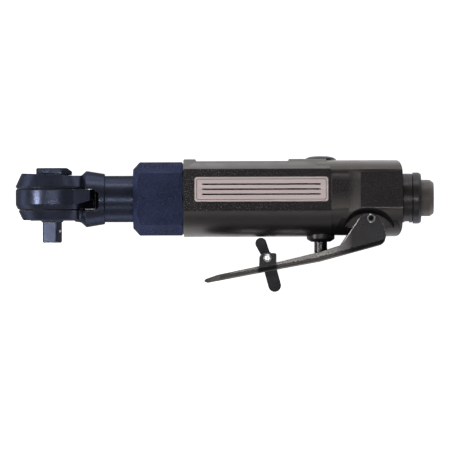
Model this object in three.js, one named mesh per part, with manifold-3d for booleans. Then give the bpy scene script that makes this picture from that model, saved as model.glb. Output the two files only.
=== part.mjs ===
// Compact air ratchet, 1/4 in square drive, lying on its side.
// Millimetres. +X runs along the tool toward the air inlet, -Y is the way the square drive points,
// +Z is up from the bench. The origin is the centre of the square drive's end face.
// Shapes are written about the tool's long axis and lifted to DRIVE_REACH at the end.
import * as THREE from "three";
import { mergeVertices } from "three/addons/utils/BufferGeometryUtils.js";
import Module from "manifold-3d";

const wasm = await Module();
wasm.setup();
const { Manifold, Mesh } = wasm;

// ---- driving dimensions ----
const DRIVE_REACH = 17.4;        // long axis above the end of the square drive
const SQUARE = 6.35;             // 1/4 in drive
const SQUARE_TURN = -18.4;       // how the square happens to stand, degrees about Y
const SHOULDER_Y = -9.3;         // where the square starts
const GAP = 0.3;                 // running clearance between turned pieces
const SEAT = 0.15;               // clearance of a seated round piece
const HUGE = 36;                 // sides of a round shape, by its size
const LARGE = 30;
const MEDIUM = 20;
const SMALL = 14;
const TINY = 10;

const HEAD_R = 14.75;
const HEAD_TOP = 10.5;
const HEAD_BOTTOM = -8.4;
const HEAD_BAND = [-2.2, 5.0];   // the rim is upright between these, and tapers above and below
const HEAD_TOP_R = 12.2;
const HEAD_BOTTOM_R = 11.7;
const SLOT_TOP = 4.7;
const SLOT_BOTTOM = -4.6;
const SLOT_END = 18.8;
const LOWER_BORE_R = 9.3;
const UPPER_BORE_R = 7.7;
const KNOB_RECESS_R = 8.4;
const KNOB_RECESS_Y = 7.3;
const NECK_R = 9.3;
const NECK_BORE_R = 7.0;
const COLLAR = [13.7, 21.1];
const HEAD_FLANGE = [35.0, 39.0];

const NUT = [32.4, 52.5];
const NUT_R = 14.75;
const NUT_SIDES = 8;
const FLANGE_R = 12.3;
const NUT_BORE_R = 12.7;

const YOKE_R = 14.65;
const YOKE_HALF = 3.95;
const WASHER_R = { upper: 14.3, lower: 13.3 };
const YOKE_TEETH = 24;
const YOKE_TIP_R = 9.4;
const YOKE_ROOT_R = 10.4;
const FORK_GAP = 5.9;            // half the space between the fork's arms
const FORK_ROOT = 13.0;
const FORK_REACH = 18.3;
const FORK_ARM = 3.4;
const FORK_CORE = 7.5;           // inside this the arms keep their full height

const CRANK_THROW = 1.5;
const CRANK_PIN = [14.0, 18.0];
const SHAFT_R = 4.9;

const GEAR_MODULE = 0.58;
const SUN_TEETH = 9;
const PLANET_TEETH = 12;
const RING_TEETH = 33;
const PLANETS = 3;
const GEAR = [42.0, 48.5];
const CARRIER = [39.3, 41.5];
const CARRIER_R = 8.6;

const MOTOR_BORE_R = 11.5;
const MOTOR_R = 11.3;
const SPIGOT = [42.0, 53.0];
const SPIGOT_R = 12.5;
const FRONT_PLATE = [50.0, 54.0];
const CYLINDER = [54.0, 84.0];
const REAR_PLATE = [84.0, 88.0];
const CYLINDER_BORE_R = 9.2;
const ROTOR_R = 8.1;
const ROTOR_OFFSET = 0.9;
const VANES = 4;

const BODY = [52.5, 139.8];
const BODY_SIDE = 14.8;          // half the width across the flat sides
const PANEL_Y = [-3.9, 11.7];     // the flat sides run between these
const BODY_TOP = 15.8;
const BODY_TOP_LOW = 14.95;
const REAR_TOP = 15.2;
const TOP_FLAT = 7.0;
const TOP_RECESS = [57.5, 94.5];
const SHELL_END = 111.5;         // the flat-sided front part ends here
const REAR_PANEL_X = 122.8;      // the flat sides start again here
const REAR_CROWN = [9.6, 5.0];   // behind the shell, a quarter ellipse from this height to this half width
const WAIST_SIDE = 14.3;

const PLATE = [57.0, 110.2];
const PLATE_Y = [-1.2, 8.6];
const PLATE_THICK = 0.5;
const PLATE_SUNK = 0.3;

const VALVE_X = 107.3;
const STEM_R = 2.6;
const STEM_FOOT_Y = -22.95;
const CAP_R = 5.8;
const CHAMBER_R = 4.7;
const BUSHING_R = 5.6;
const BUSHING_SEAT_Y = -13.3;    // floor of the spot face that the valve bushing's flange sits in

const PIVOT = [127.3, -8.0];
const PIN_R = 1.6;
const RECESS = { centre: [126.3, -17.0], inner: 11.4, outer: 13.5, floor: 9.6, depth: 6.0 };
const SHEET = 1.4;
const LEVER_HALF = 11.3;
const SLOT_HALF = 2.1;
const LOCK_RIVET = [85.9, -23.7];
const LOCK_THICK = 3.0;
const LOCK_UP = { angle: 113.3, reach: 6.3, half: 2.3, root: 1.75 };
const LOCK_DOWN = { angle: 284.8, reach: 11.5, half: 2.6, root: 2.6 };
const LOCK_NOTCH = { offset: [2.7, 3.7], r: 1.2 };

const PORT_R = 6.5;
const RING_R = 9.8;
const DEFLECTOR = [140.1, 143.9];
const INLET_FLANGE = [144.1, 147.4];
const INLET_FLANGE_R = 10.25;
const PLUG_R = 7.3;
const PLUG_END = 152.5;

// ---- colours ----
const MATERIAL = {
  blueSteel: [0x262a34, 0.42, 0.75],
  navySteel: [0x2b3045, 0.5, 0.6],
  blackPaint: [0x3a383c, 0.4, 0.3],
  gunmetal: [0x2c2b2e, 0.3, 0.7],
  silver: [0xcdbebe, 0.35, 0.8],
  steel: [0x9a9a9c, 0.3, 0.9],
  darkSteel: [0x4a4a4e, 0.4, 0.8],
  bronze: [0x8f6f3e, 0.45, 0.8],
  rubber: [0x1b1b1b, 0.8, 0.0],
  resin: [0x4c4439, 0.7, 0.0],
  plug: [0x58524e, 0.55, 0.1],
};

// ---- building helpers ----
const rad = (degrees) => THREE.MathUtils.degToRad(degrees);
const polar = (r, degrees) => [r * Math.cos(rad(degrees)), r * Math.sin(rad(degrees))];

function solid(geometry) {
  const bare = geometry.index ? geometry.toNonIndexed() : geometry.clone();
  bare.deleteAttribute("normal");
  bare.deleteAttribute("uv");
  const merged = mergeVertices(bare, 1e-5);
  return new Manifold(new Mesh({
    numProp: 3,
    vertProperties: new Float32Array(merged.attributes.position.array),
    triVerts: new Uint32Array(merged.index.array),
  }));
}

function toAxis(geometry, axis) {
  // turns a shape made along +Z so that it runs along the named axis
  if (axis === "x") {
    geometry.applyMatrix4(new THREE.Matrix4().makeBasis(
      new THREE.Vector3(0, 1, 0), new THREE.Vector3(0, 0, 1), new THREE.Vector3(1, 0, 0)));
  }
  if (axis === "y") {
    geometry.applyMatrix4(new THREE.Matrix4().makeBasis(
      new THREE.Vector3(0, 0, 1), new THREE.Vector3(1, 0, 0), new THREE.Vector3(0, 1, 0)));
  }
  return geometry;
}

// An outline in the plane across an axis: x -> (y, z), y -> (z, x), z -> (x, y).
function prism(outline, from, to, axis = "z", holes = []) {
  const shape = new THREE.Shape(outline.map(([a, b]) => new THREE.Vector2(a, b)));
  for (const hole of holes) {
    shape.holes.push(new THREE.Path(hole.map(([a, b]) => new THREE.Vector2(a, b))));
  }
  const geometry = new THREE.ExtrudeGeometry(shape, { depth: to - from, bevelEnabled: false });
  geometry.translate(0, 0, from);
  return solid(toAxis(geometry, axis));
}

// A turned solid: profile is a list of [radius, position along the axis].
function turned(profile, axis, segments = MEDIUM, centre = [0, 0, 0]) {
  const points = profile.map(([r, t]) => new THREE.Vector2(r, t));
  const geometry = new THREE.LatheGeometry(points, segments);
  geometry.rotateX(Math.PI / 2);
  return facingOut(solid(toAxis(geometry, axis))).translate(centre);
}

function facingOut(body) {
  if (body.volume() > 0) return body;
  throw new Error("a turned profile runs the wrong way round");
}

// A round bar or, with a hole radius, a ring.
function bar(r, from, to, axis, centre = [0, 0, 0], hole = 0, segments = MEDIUM) {
  if (hole > 0) {
    return turned([[hole, from], [r, from], [r, to], [hole, to], [hole, from]], axis, segments, centre);
  }
  return turned([[0, from], [r, from], [r, to], [0, to]], axis, segments, centre);
}

function block(x, y, z) {
  const geometry = new THREE.BoxGeometry(x[1] - x[0], y[1] - y[0], z[1] - z[0]);
  geometry.translate((x[0] + x[1]) / 2, (y[0] + y[1]) / 2, (z[0] + z[1]) / 2);
  return solid(geometry);
}

function ball(r, centre, across = 12, down = 8) {
  return solid(new THREE.SphereGeometry(r, across, down)).translate(centre);
}

function arc(centre, r, from, to, steps) {
  return Array.from({ length: steps + 1 }, (_, i) => {
    const [a, b] = polar(r, from + (to - from) * i / steps);
    return [centre[0] + a, centre[1] + b];
  });
}

function gearOutline(teeth, rootR, tipR, rootWidth, tipWidth, phase = 0) {
  const outline = [];
  for (let i = 0; i < teeth; i += 1) {
    const middle = phase + 360 * i / teeth;
    const atRoot = THREE.MathUtils.radToDeg(rootWidth / 2 / rootR);
    const atTip = THREE.MathUtils.radToDeg(tipWidth / 2 / tipR);
    outline.push(polar(rootR, middle - atRoot));
    outline.push(polar(tipR, middle - atTip));
    outline.push(polar(tipR, middle + atTip));
    outline.push(polar(rootR, middle + atRoot));
  }
  return outline;
}

// A wire coil along an axis through centre, from start over length.
function coil(r, wire, turns, start, length, axis, centre, steps = 8, ends = []) {
  const points = [...(ends[0] ?? [])];
  const count = Math.round(turns * steps);
  for (let i = 0; i <= count; i += 1) {
    const [a, b] = polar(r, 360 * i / steps);
    points.push(new THREE.Vector3(a, b, start + length * i / count));
  }
  points.push(...(ends[1] ?? []));
  const path = new THREE.CatmullRomCurve3(points);
  const section = new THREE.Shape(Array.from({ length: 5 }, (_, i) => (
    new THREE.Vector2(...polar(wire, 72 * i)))));
  const geometry = new THREE.ExtrudeGeometry(section,
    { steps: points.length - 1, extrudePath: path, bevelEnabled: false });
  return solid(toAxis(geometry, axis)).translate(centre);
}

// Joins two or more solids.
const join = (first, ...others) => others.reduce((whole, next) => whole.add(next), first);
// Takes solids out of the first one.
const cut = (first, ...others) => others.reduce((whole, next) => whole.subtract(next), first);

const tool = new THREE.Group();
tool.name = "air_ratchet";
tool.position.y = DRIVE_REACH;

function add(name, body, material) {
  const mesh = body.getMesh();
  const geometry = new THREE.BufferGeometry();
  geometry.setAttribute("position", new THREE.BufferAttribute(new Float32Array(mesh.vertProperties), 3));
  geometry.setIndex(new THREE.BufferAttribute(new Uint32Array(mesh.triVerts), 1));
  geometry.computeVertexNormals();
  const [color, roughness, metalness] = MATERIAL[material];
  const node = new THREE.Mesh(geometry, new THREE.MeshStandardMaterial({ color, roughness, metalness }));
  node.name = name;
  tool.add(node);
}

// ---- head housing: two ears, collar, neck and the flange that the nut pulls on ----
function headHousing() {
  const [low, high] = HEAD_BAND;
  const ears = turned([
    [0, HEAD_BOTTOM], [HEAD_BOTTOM_R, HEAD_BOTTOM], [HEAD_R, low],
    [HEAD_R, high], [HEAD_TOP_R, HEAD_TOP], [0, HEAD_TOP],
  ], "y", HUGE);
  const slopedTop = prism([[-20, 10.75], [8.4, 9.4], [20, 9.4], [20, 14], [-20, 14]], -20, 20);
  const [collar, collarEnd] = COLLAR;
  const barrel = turned([
    [0, 4.5], [8.5, 4.5], [9.3, collar - 2.2], [11.3, collar], [10.1, collarEnd], [NECK_R, collarEnd],
    [NECK_R, HEAD_FLANGE[0]], [FLANGE_R, HEAD_FLANGE[0]], [FLANGE_R, HEAD_FLANGE[1]], [0, HEAD_FLANGE[1]],
  ], "x", LARGE);
  const slot = prism([
    [-20, SLOT_TOP], [12.8, SLOT_TOP], [SLOT_END - 2.2, 3.8], [SLOT_END - 0.6, 3.1], [SLOT_END, 1.6],
    [SLOT_END, SLOT_BOTTOM + 2.0], [SLOT_END - 0.6, SLOT_BOTTOM + 0.6],
    [SLOT_END - 2.0, SLOT_BOTTOM], [-20, SLOT_BOTTOM],
  ], -16, 16);
  return cut(join(cut(ears, slopedTop), barrel),
    cut(slot, slotLedges()),
    bar(LOWER_BORE_R, -12, 0, "y"),
    bar(UPPER_BORE_R, 0, 12, "y"),
    bar(KNOB_RECESS_R, KNOB_RECESS_Y, 12, "y"),
    bar(5.6, 13.2, 24, "x"),
    bar(NECK_BORE_R, 20.6, 40, "x"));
}

// The slot is shallower near the middle, where the fork's full-height core comes close to its end and sides.
function slotLedges() {
  const half = FORK_CORE;
  const end = cut(block([17.0, 19.5], [-5, 5], [-half, half]), bar(SLOT_END, -6, 6, "y", [0, 0, 0], 0, HUGE));
  const lowest = -YOKE_HALF - SEAT;
  return join(end, block([13.4, 19.5], [YOKE_HALF + SEAT, 5], [-half, half]),
    block([13.4, 19.5], [-5, lowest], [-half, half]));
}

// ---- ratchet yoke: toothed ring with a fork that the crank swings ----
function ratchetYoke() {
  const [low] = HEAD_BAND;
  const lowerR = YOKE_R - (low + YOKE_HALF) / 2;
  const disc = turned([
    [0, -YOKE_HALF], [lowerR, -YOKE_HALF], [YOKE_R, low], [YOKE_R, YOKE_HALF - 0.2],
    [YOKE_R - 0.2, YOKE_HALF], [0, YOKE_HALF],
  ], "y", HUGE);
  const teeth = gearOutline(YOKE_TEETH, YOKE_ROOT_R, YOKE_TIP_R, 0.5, 0.18);
  const forkRoom = block([FORK_ROOT, FORK_REACH + 1], [-6, 6], [-FORK_GAP, FORK_GAP]);
  return cut(join(disc, forkBlank()), forkRoom, prism(teeth, -6, 6, "y"));
}

// Both arms in one: its sides leave the disc as tangents, and the underside of its outer skin slopes up
// to the tips.
function forkBlank() {
  const half = FORK_GAP + FORK_ARM;
  const tangent = 54;
  const [x, z] = polar(YOKE_R, tangent);
  const plan = prism([[-z, x], [-z, x - 4], [z, x - 4], [z, x], [half, FORK_REACH], [-half, FORK_REACH]],
    -YOKE_HALF, YOKE_HALF, "y");
  const upper = [[FORK_REACH, 3.2], [13.0, YOKE_HALF], [4.0, YOKE_HALF]];
  const skin = prism([[4.0, -YOKE_HALF], [15.9, -0.2], [FORK_REACH, -0.2], ...upper], -YOKE_R, YOKE_R);
  const core = prism([
    [4.0, -YOKE_HALF], [FORK_REACH, -YOKE_HALF], [FORK_REACH, 3.0], [16.2, 3.6], [15.0, YOKE_HALF],
    [4.0, YOKE_HALF],
  ], -FORK_CORE, FORK_CORE);
  return plan.intersect(join(skin, core)).intersect(bar(FORK_REACH, -6, 6, "y", [0, 0, 0], 0, HUGE));
}

// ---- anvil with its square, the pawl and the reverse knob ----
const PAWL_PIVOT = 5.4;
const PAWL_ROCK = 4;
const PAWL_R = 8.3;
const KNOB_STEM_R = 2.4;
const DETENT_Y = -12.4;

function anvil() {
  const body = turned([
    [0, SHOULDER_Y], [3.9, SHOULDER_Y], [4.6, SHOULDER_Y + 0.6], [4.6, -8.6], [8.6, -8.6], [9.0, -8.2],
    [9.0, -4.4], [8.9, -4.4], [8.9, 4.2], [7.4, 4.2], [7.4, KNOB_RECESS_Y], [5.9, KNOB_RECESS_Y],
    [5.9, 8.1], [0, 8.1],
  ], "y", LARGE);
  const half = SQUARE / 2;
  const bevel = 0.7;
  const corner = [
    [half, bevel - half], [half, half - bevel], [half - bevel, half], [bevel - half, half],
    [-half, half - bevel], [-half, bevel - half], [bevel - half, -half], [half - bevel, -half],
  ];
  const tipBevel = turned([[0, -DRIVE_REACH], [half + 0.5, -DRIVE_REACH], [half + 1.6, 1.1 - DRIVE_REACH],
    [half + 1.6, SHOULDER_Y + 1], [0, SHOULDER_Y + 1]], "y", LARGE);
  const square = prism(corner, -DRIVE_REACH, SHOULDER_Y + 0.8, "y").intersect(tipBevel);
  const detentHole = bar(1.1, -1.5, 6, "x", [0, DETENT_Y, 0], 0, SMALL);
  const drive = cut(square, detentHole).rotate([0, SQUARE_TURN, 0]);
  const pocket = prism([[1.0, 2.4], [-5.7, 2.6], [-6.6, 12], [6.6, 12], [5.7, 2.6]], -3.6, 3.6, "y");
  return cut(join(body, drive),
    pocket,
    bar(KNOB_STEM_R + GAP, -3.0, 10, "y"),
    bar(4.0, -1.8, 1.8, "y"),
    bar(1.2, -5.2, 5.0, "y", [PAWL_PIVOT, 0, 0], 0, TINY));
}

function pawl() {
  const teeth = [];
  for (const degrees of [-40, -33, -26]) {
    teeth.push(polar(PAWL_R, degrees));
    teeth.push(polar(PAWL_R - 0.7, degrees + 3.5));
  }
  const otherEnd = teeth.map(([x, z]) => [x, -z]).reverse();
  const outline = [[4.6, -4.6], ...teeth, ...otherEnd, [4.6, 4.6]].map(([x, z]) => [z, x]);
  return cut(prism(outline, -3.4, 3.4, "y"), bar(1.2, -5, 5, "y", [PAWL_PIVOT, 0, 0], 0, TINY))
    .translate([-PAWL_PIVOT, 0, 0]).rotate([0, PAWL_ROCK, 0]).translate([PAWL_PIVOT, 0, 0]);
}

function reverseKnob() {
  const disc = turned([[0, 8.4], [6.4, 8.4], [6.4, 12.0], [5.9, 12.5], [0, 12.5]], "y", LARGE);
  const flats = block([-6.6, 6.6], [10.2, 14], [5.1, 8]);
  const tail = prism([[4.0, 9.9], [8.3, 9.9], [8.3, 10.8], [6.0, 12.5], [4.0, 12.5]], -5.1, 5.1);
  const taper = prism([[-5.1, 3.9], [-2.0, 7.95], [2.0, 7.95], [5.1, 3.9]], 9, 13, "y");
  const stem = bar(KNOB_STEM_R, -2.6, 8.6, "y");
  const plungerHole = bar(1.0, -1.2, 3, "x", [0, 0, 0], 0, TINY);
  return cut(join(cut(disc, flats, flats.mirror([0, 0, 1])), tail.intersect(taper), stem), plungerHole);
}

function detentBall() {
  return ball(0.9, [SQUARE / 2 - 0.35, DETENT_Y, 0]).rotate([0, SQUARE_TURN, 0]);
}

// The upper washer has a flat toward the neck, where the slot gets lower.
function upperWasher() {
  return cut(bar(WASHER_R.upper, 4.05, 4.6, "y", [0, 0, 0], 9.1, HUGE), block([12.9, 16], [3, 6], [-16, 16]));
}

add("head_housing", headHousing(), "blueSteel");
add("ratchet_yoke", ratchetYoke(), "blueSteel");
add("anvil", anvil(), "blueSteel");
add("pawl", pawl(), "steel");
add("pawl_pin", bar(1.05, -5.1, 4.1, "y", [PAWL_PIVOT, 0, 0], 0, TINY), "steel");
add("reverse_knob", reverseKnob(), "blueSteel");
add("reverse_plunger",
  turned([[0, 0.9], [0.85, 0.9], [0.85, 3.2], [0.5, 3.6], [0, 3.6]], "x", TINY), "steel");
add("plunger_spring", coil(0.55, 0.16, 3, -0.9, 1.55, "x", [0, 0, 0]), "steel");
add("thrust_washer_upper", upperWasher(), "darkSteel");
add("thrust_washer_lower", bar(WASHER_R.lower, -4.55, -4.05, "y", [0, 0, 0], 9.3, HUGE), "darkSteel");
add("anvil_retaining_ring", bar(8.2, 7.35, 8.05, "y", [0, 0, 0], 6.05, MEDIUM), "steel");
add("detent_ball", detentBall(), "steel");
add("detent_spring",
  coil(0.6, 0.16, 3, -1.3, 3.0, "x", [0, DETENT_Y, 0]).rotate([0, SQUARE_TURN, 0]), "steel");

// ---- crank, its bushing and bearing, and the planet carrier on its rear ----
function crankshaft() {
  const shaft = turned([
    [0, 19.2], [SHAFT_R, 19.2], [SHAFT_R, 31.2], [6.4, 31.2], [6.4, CARRIER[0]], [CARRIER_R, CARRIER[0]],
    [CARRIER_R, CARRIER[1]], [0, CARRIER[1]],
  ], "x", MEDIUM);
  const pin = bar(1.5, CRANK_PIN[0] - 0.5, 19.6, "x", [0, CRANK_THROW, 0], 0, SMALL);
  const sunRoom = bar(3.6, 38.5, 50, "x");
  const pinHoles = planetPlaces().map(([y, z]) => bar(1.3, CARRIER[0] + 0.1, 50, "x", [0, y, z], 0, TINY));
  return cut(join(shaft, pin), sunRoom, ...pinHoles);
}

function planetPlaces() {
  const centres = GEAR_MODULE * (SUN_TEETH + PLANET_TEETH) / 2;
  return Array.from({ length: PLANETS }, (_, i) => polar(centres, 360 * i / PLANETS));
}

function driveBushing() {
  const [from, to] = CRANK_PIN;
  const middle = (from + to) / 2;
  return turned([
    [1.65, from], [2.0, from], [2.5, middle - 0.7], [2.5, middle + 0.7], [2.0, to], [1.65, to], [1.65, from],
  ], "x", SMALL, [0, CRANK_THROW, 0]);
}

const pitchR = (teeth) => GEAR_MODULE * teeth / 2;
const TOOTH = { addendum: 0.42, dedendum: 0.66, rootWidth: 0.86, tipWidth: 0.34 };

function externalGear(teeth, phase) {
  const r = pitchR(teeth);
  return gearOutline(teeth, r - TOOTH.dedendum, r + TOOTH.addendum, TOOTH.rootWidth, TOOTH.tipWidth, phase);
}

function ringGear() {
  const r = pitchR(RING_TEETH);
  const root = r + TOOTH.dedendum;
  const tip = r - TOOTH.addendum;
  // planet 0 has a tooth gap facing out, so the ring has a tooth there
  const toothRoom = [];
  for (let i = 0; i < RING_TEETH; i += 1) {
    const middle = 360 * i / RING_TEETH;
    const half = 180 / RING_TEETH;
    const atRoot = THREE.MathUtils.radToDeg(TOOTH.rootWidth / 2 / root);
    const atTip = THREE.MathUtils.radToDeg(TOOTH.tipWidth / 2 / tip);
    toothRoom.push(polar(tip, middle - atTip), polar(tip, middle + atTip));
    toothRoom.push(polar(root, middle + atRoot), polar(root, middle + 2 * half - atRoot));
  }
  const flange = bar(FLANGE_R, HEAD_FLANGE[1], GEAR[0] - 0.05, "x", [0, 0, 0], 0, LARGE);
  const sleeve = bar(MOTOR_R - 0.1, GEAR[0] - 0.1, 49.7, "x", [0, 0, 0], 0, LARGE);
  return cut(join(flange, sleeve),
    bar(tip + 0.05, 38, GEAR[0], "x"),
    prism(toothRoom, GEAR[0] - 0.2, 52, "x"));
}

function planetGear(index) {
  const [y, z] = planetPlaces()[index];
  const carrierTurn = 360 * index / PLANETS;
  // a tooth gap of planet 0 faces the ring tooth; the others are turned by the gear train's own ratio
  const turn = 180 / PLANET_TEETH + carrierTurn * (1 - RING_TEETH / PLANET_TEETH);
  const gear = prism(externalGear(PLANET_TEETH, turn), GEAR[0], GEAR[1], "x");
  return cut(gear, bar(1.45, 40, 50, "x", [0, 0, 0], 0, SMALL)).translate([0, y, z]);
}

// ---- motor: plates, cylinder, rotor with its sun gear, vanes ----
function rotor() {
  const core = bar(ROTOR_R, CYLINDER[0] + 0.2, CYLINDER[1] - 0.2, "x", [0, 0, 0], 0, LARGE);
  const shaft = bar(3.0, GEAR[1] + 0.6, REAR_PLATE[1] - 0.6, "x");
  // planet 0 has a tooth gap facing in, so the sun has a tooth there
  const sun = prism(externalGear(SUN_TEETH, 0), GEAR[0] + 0.3, GEAR[1] + 0.6, "x");
  const slots = Array.from({ length: VANES }, (_, i) => (
    block([CYLINDER[0], CYLINDER[1]], [ROTOR_R - 4.6, ROTOR_R + 2], [-0.65, 0.65])
      .rotate([360 * i / VANES, 0, 0])));
  return cut(join(core, shaft, sun), ...slots);
}

function rotorVane(index) {
  return block([CYLINDER[0] + 0.3, CYLINDER[1] - 0.3], [ROTOR_R - 4.3, ROTOR_R], [-0.5, 0.5])
    .rotate([360 * index / VANES, 0, 0]);
}

function motorCylinder() {
  const sleeve = bar(MOTOR_R, CYLINDER[0], CYLINDER[1], "x", [0, 0, 0], 0, LARGE);
  const bore = bar(CYLINDER_BORE_R, CYLINDER[0] - 1, CYLINDER[1] + 1, "x", [0, ROTOR_OFFSET, 0], 0, LARGE);
  const ports = [-6, 0, 6].map((step) => (
    bar(1.2, -12, -6, "y", [(CYLINDER[0] + CYLINDER[1]) / 2 + step, 0, 0], 0, TINY)));
  return cut(sleeve, bore, ...ports);
}

function endPlate([from, to]) {
  return bar(MOTOR_R, from, to, "x", [0, 0, 0], 5.5, LARGE);
}

add("crankshaft", crankshaft(), "steel");
add("drive_bushing", driveBushing(), "darkSteel");
add("crank_bearing", bar(NECK_BORE_R - SEAT, 20.7, 31.0, "x", [0, 0, 0], SHAFT_R + SEAT, MEDIUM), "steel");
add("ring_gear", ringGear(), "steel");
for (let i = 0; i < PLANETS; i += 1) {
  const [y, z] = planetPlaces()[i];
  add(`planet_gear_${i + 1}`, planetGear(i), "steel");
  add(`planet_pin_${i + 1}`, bar(1.15, CARRIER[0] + 0.1, GEAR[1] + 0.4, "x", [0, y, z], 0, TINY), "steel");
}
add("front_end_plate", endPlate(FRONT_PLATE), "darkSteel");
add("front_bearing", bar(5.35, FRONT_PLATE[0], FRONT_PLATE[1], "x", [0, 0, 0], 3.2, MEDIUM), "steel");
add("motor_cylinder", motorCylinder(), "darkSteel");
add("rotor", rotor(), "steel");
for (let i = 0; i < VANES; i += 1) {
  add(`rotor_vane_${i + 1}`, rotorVane(i), "resin");
}
add("rear_end_plate", endPlate(REAR_PLATE), "darkSteel");
add("rear_bearing", bar(5.35, REAR_PLATE[0], REAR_PLATE[1], "x", [0, 0, 0], 3.2, MEDIUM), "steel");

// ---- clamp nut ----
function clampNut() {
  const [from, to] = NUT;
  const corners = Array.from({ length: NUT_SIDES }, (_, i) => polar(NUT_R, 360 * i / NUT_SIDES));
  const rounds = turned([[0, from], [NUT_R - 2.7, from], [NUT_R, from + 2.7], [NUT_R, to - 0.7],
    [NUT_R - 0.7, to], [0, to]], "x", HUGE);
  return cut(prism(corners, from, to, "x").intersect(rounds),
    bar(NECK_R + GAP, from - 1, to, "x", [0, 0, 0], 0, LARGE),
    bar(NUT_BORE_R, HEAD_FLANGE[0], to + 1, "x", [0, 0, 0], 0, LARGE));
}
add("clamp_nut", clampNut(), "navySteel");

// ---- motor housing: flat-sided front, round rear, bores, lever recess and pads ----
function shellOutline(shoulder, side) {
  const [low] = PANEL_Y;
  const start = THREE.MathUtils.radToDeg(Math.atan2(side, low));
  const round = arc([0, 0], Math.hypot(side, low), start, 360 - start, 16);
  const mirrored = shoulder.map(([y, z]) => [y, -z]).reverse();
  return [...mirrored, ...shoulder, ...round];
}

const frontShoulder = [[BODY_TOP, TOP_FLAT], [PANEL_Y[1], BODY_SIDE]];

function rearShoulder(side) {
  const [crownY, crownZ] = REAR_CROWN;
  return arc([0, 0], 1, 0, 90, 5).map(([a, b]) => (
    [crownY + (REAR_TOP - crownY) * a, crownZ + (side - crownZ) * b]));
}

function motorHousing() {
  const [from, to] = BODY;
  const front = prism(shellOutline(frontShoulder, BODY_SIDE), from, SHELL_END + 1.6, "x");
  const slantedEnd = prism([[SHELL_END - 2.0, 20], [SHELL_END - 2.0, 15.5], [SHELL_END, 11.0],
    [SHELL_END, -20], [SHELL_END + 6, -20], [SHELL_END + 6, 20]], -20, 20);
  const waist = prism(shellOutline(rearShoulder(WAIST_SIDE), WAIST_SIDE), SHELL_END - 6, to, "x");
  const rearShell = prism(shellOutline(rearShoulder(BODY_SIDE), BODY_SIDE), REAR_PANEL_X - 1, to, "x")
    .intersect(rearPanelStart());
  const topRecess = block(TOP_RECESS, [BODY_TOP_LOW, 20], [-20, 20]);
  const spigot = bar(SPIGOT_R, SPIGOT[0], SPIGOT[1], "x", [0, 0, 0], 0, LARGE);
  const capBoss = bar(CAP_R + 0.5, 8, BODY_TOP, "y", [VALVE_X, 0, 0], 0, MEDIUM);
  const barrel = join(waist, rearShell).intersect(rearEnd());
  const shell = join(cut(front, topRecess, slantedEnd), barrel, spigot, capBoss);
  const recess = leverRecess();
  return cut(shell, recess, recess.mirror([0, 0, 1]), ...housingBores());
}

// Everything in front of the rear end's rounded corners, seen from the side.
function rearEnd() {
  const to = BODY[1];
  const corner = (hand) => arc([0, 0], 1, 0, 90, 3).map(([a, b]) => (
    [to - 2.4 + 2.4 * a, hand * (REAR_TOP - 5.0 + 5.0 * b)]));
  return prism([
    [100, -20], [to - 2.4, -20], ...corner(-1).reverse(), ...corner(1), [to - 2.4, 20], [100, 20],
  ], -20, 20);
}

// The half-moon pocket that an ear of the lever turns in.
function leverRecess() {
  const { centre, inner, outer, floor, depth } = RECESS;
  return turned([[0, 0], [inner, 0], [outer, depth], [0, depth]], "z", LARGE, [centre[0], centre[1], floor]);
}

// The slope at the front of the rear flats.
function rearPanelStart() {
  const x = REAR_PANEL_X;
  return prism([
    [-BODY_SIDE, x], [0.6 - WAIST_SIDE, x - 1.0], [WAIST_SIDE - 0.6, x - 1.0], [BODY_SIDE, x],
    [BODY_SIDE, 150], [-BODY_SIDE, 150],
  ], -20, 20, "y");
}

function housingBores() {
  const [px, py] = PIVOT;
  return [
    bar(MOTOR_BORE_R, SPIGOT[0] - 1, REAR_PLATE[1] + 0.4, "x", [0, 0, 0], 0, LARGE),
    bar(7.0, REAR_PLATE[1], REAR_PLATE[1] + 2.2, "x"),
    bar(1.9, REAR_PLATE[1], VALVE_X, "x", [0, -4.9, 0], 0, SMALL),
    bar(CHAMBER_R, 0, 11.0, "y", [VALVE_X, 0, 0], 0, MEDIUM),
    bar(CAP_R - 0.6, 10.8, 20, "y", [VALVE_X, 0, 0], 0, MEDIUM),
    bar(2.9, -3.0, 1.0, "y", [VALVE_X, 0, 0], 0, MEDIUM),
    bar(CHAMBER_R, -20, -3.0, "y", [VALVE_X, 0, 0], 0, MEDIUM),
    bar(BUSHING_R + SEAT, -20, BUSHING_SEAT_Y, "y", [VALVE_X, 0, 0], 0, MEDIUM),
    bar(3.0, VALVE_X, 119, "x", [0, 4.6, 0], 0, SMALL),
    bar(5.0, 116, 140, "x", [0, 1.0, 0], 0, MEDIUM),
    bar(8.2, 131.4, 145, "x"),
    bar(PIN_R + SEAT, -12, 12, "z", [px, py, 0], 0, SMALL),
    block(roomFor(PLATE), roomFor(PLATE_Y), [BODY_SIDE - PLATE_SUNK, BODY_SIDE + 1]),
  ];
}

const roomFor = ([low, high]) => [low - SEAT, high + SEAT];

function namePlate() {
  const [from, to] = PLATE;
  const [low, high] = PLATE_Y;
  const r = 1.0;
  const outline = [
    ...arc([to - r, high - r], r, 0, 90, 3), ...arc([from + r, high - r], r, 90, 180, 3),
    ...arc([from + r, low + r], r, 180, 270, 3), ...arc([to - r, low + r], r, 270, 360, 3),
  ];
  return prism(outline, BODY_SIDE - PLATE_SUNK, BODY_SIDE - PLATE_SUNK + PLATE_THICK);
}

add("motor_housing", motorHousing(), "blackPaint");
add("name_plate", namePlate(), "silver");

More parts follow.
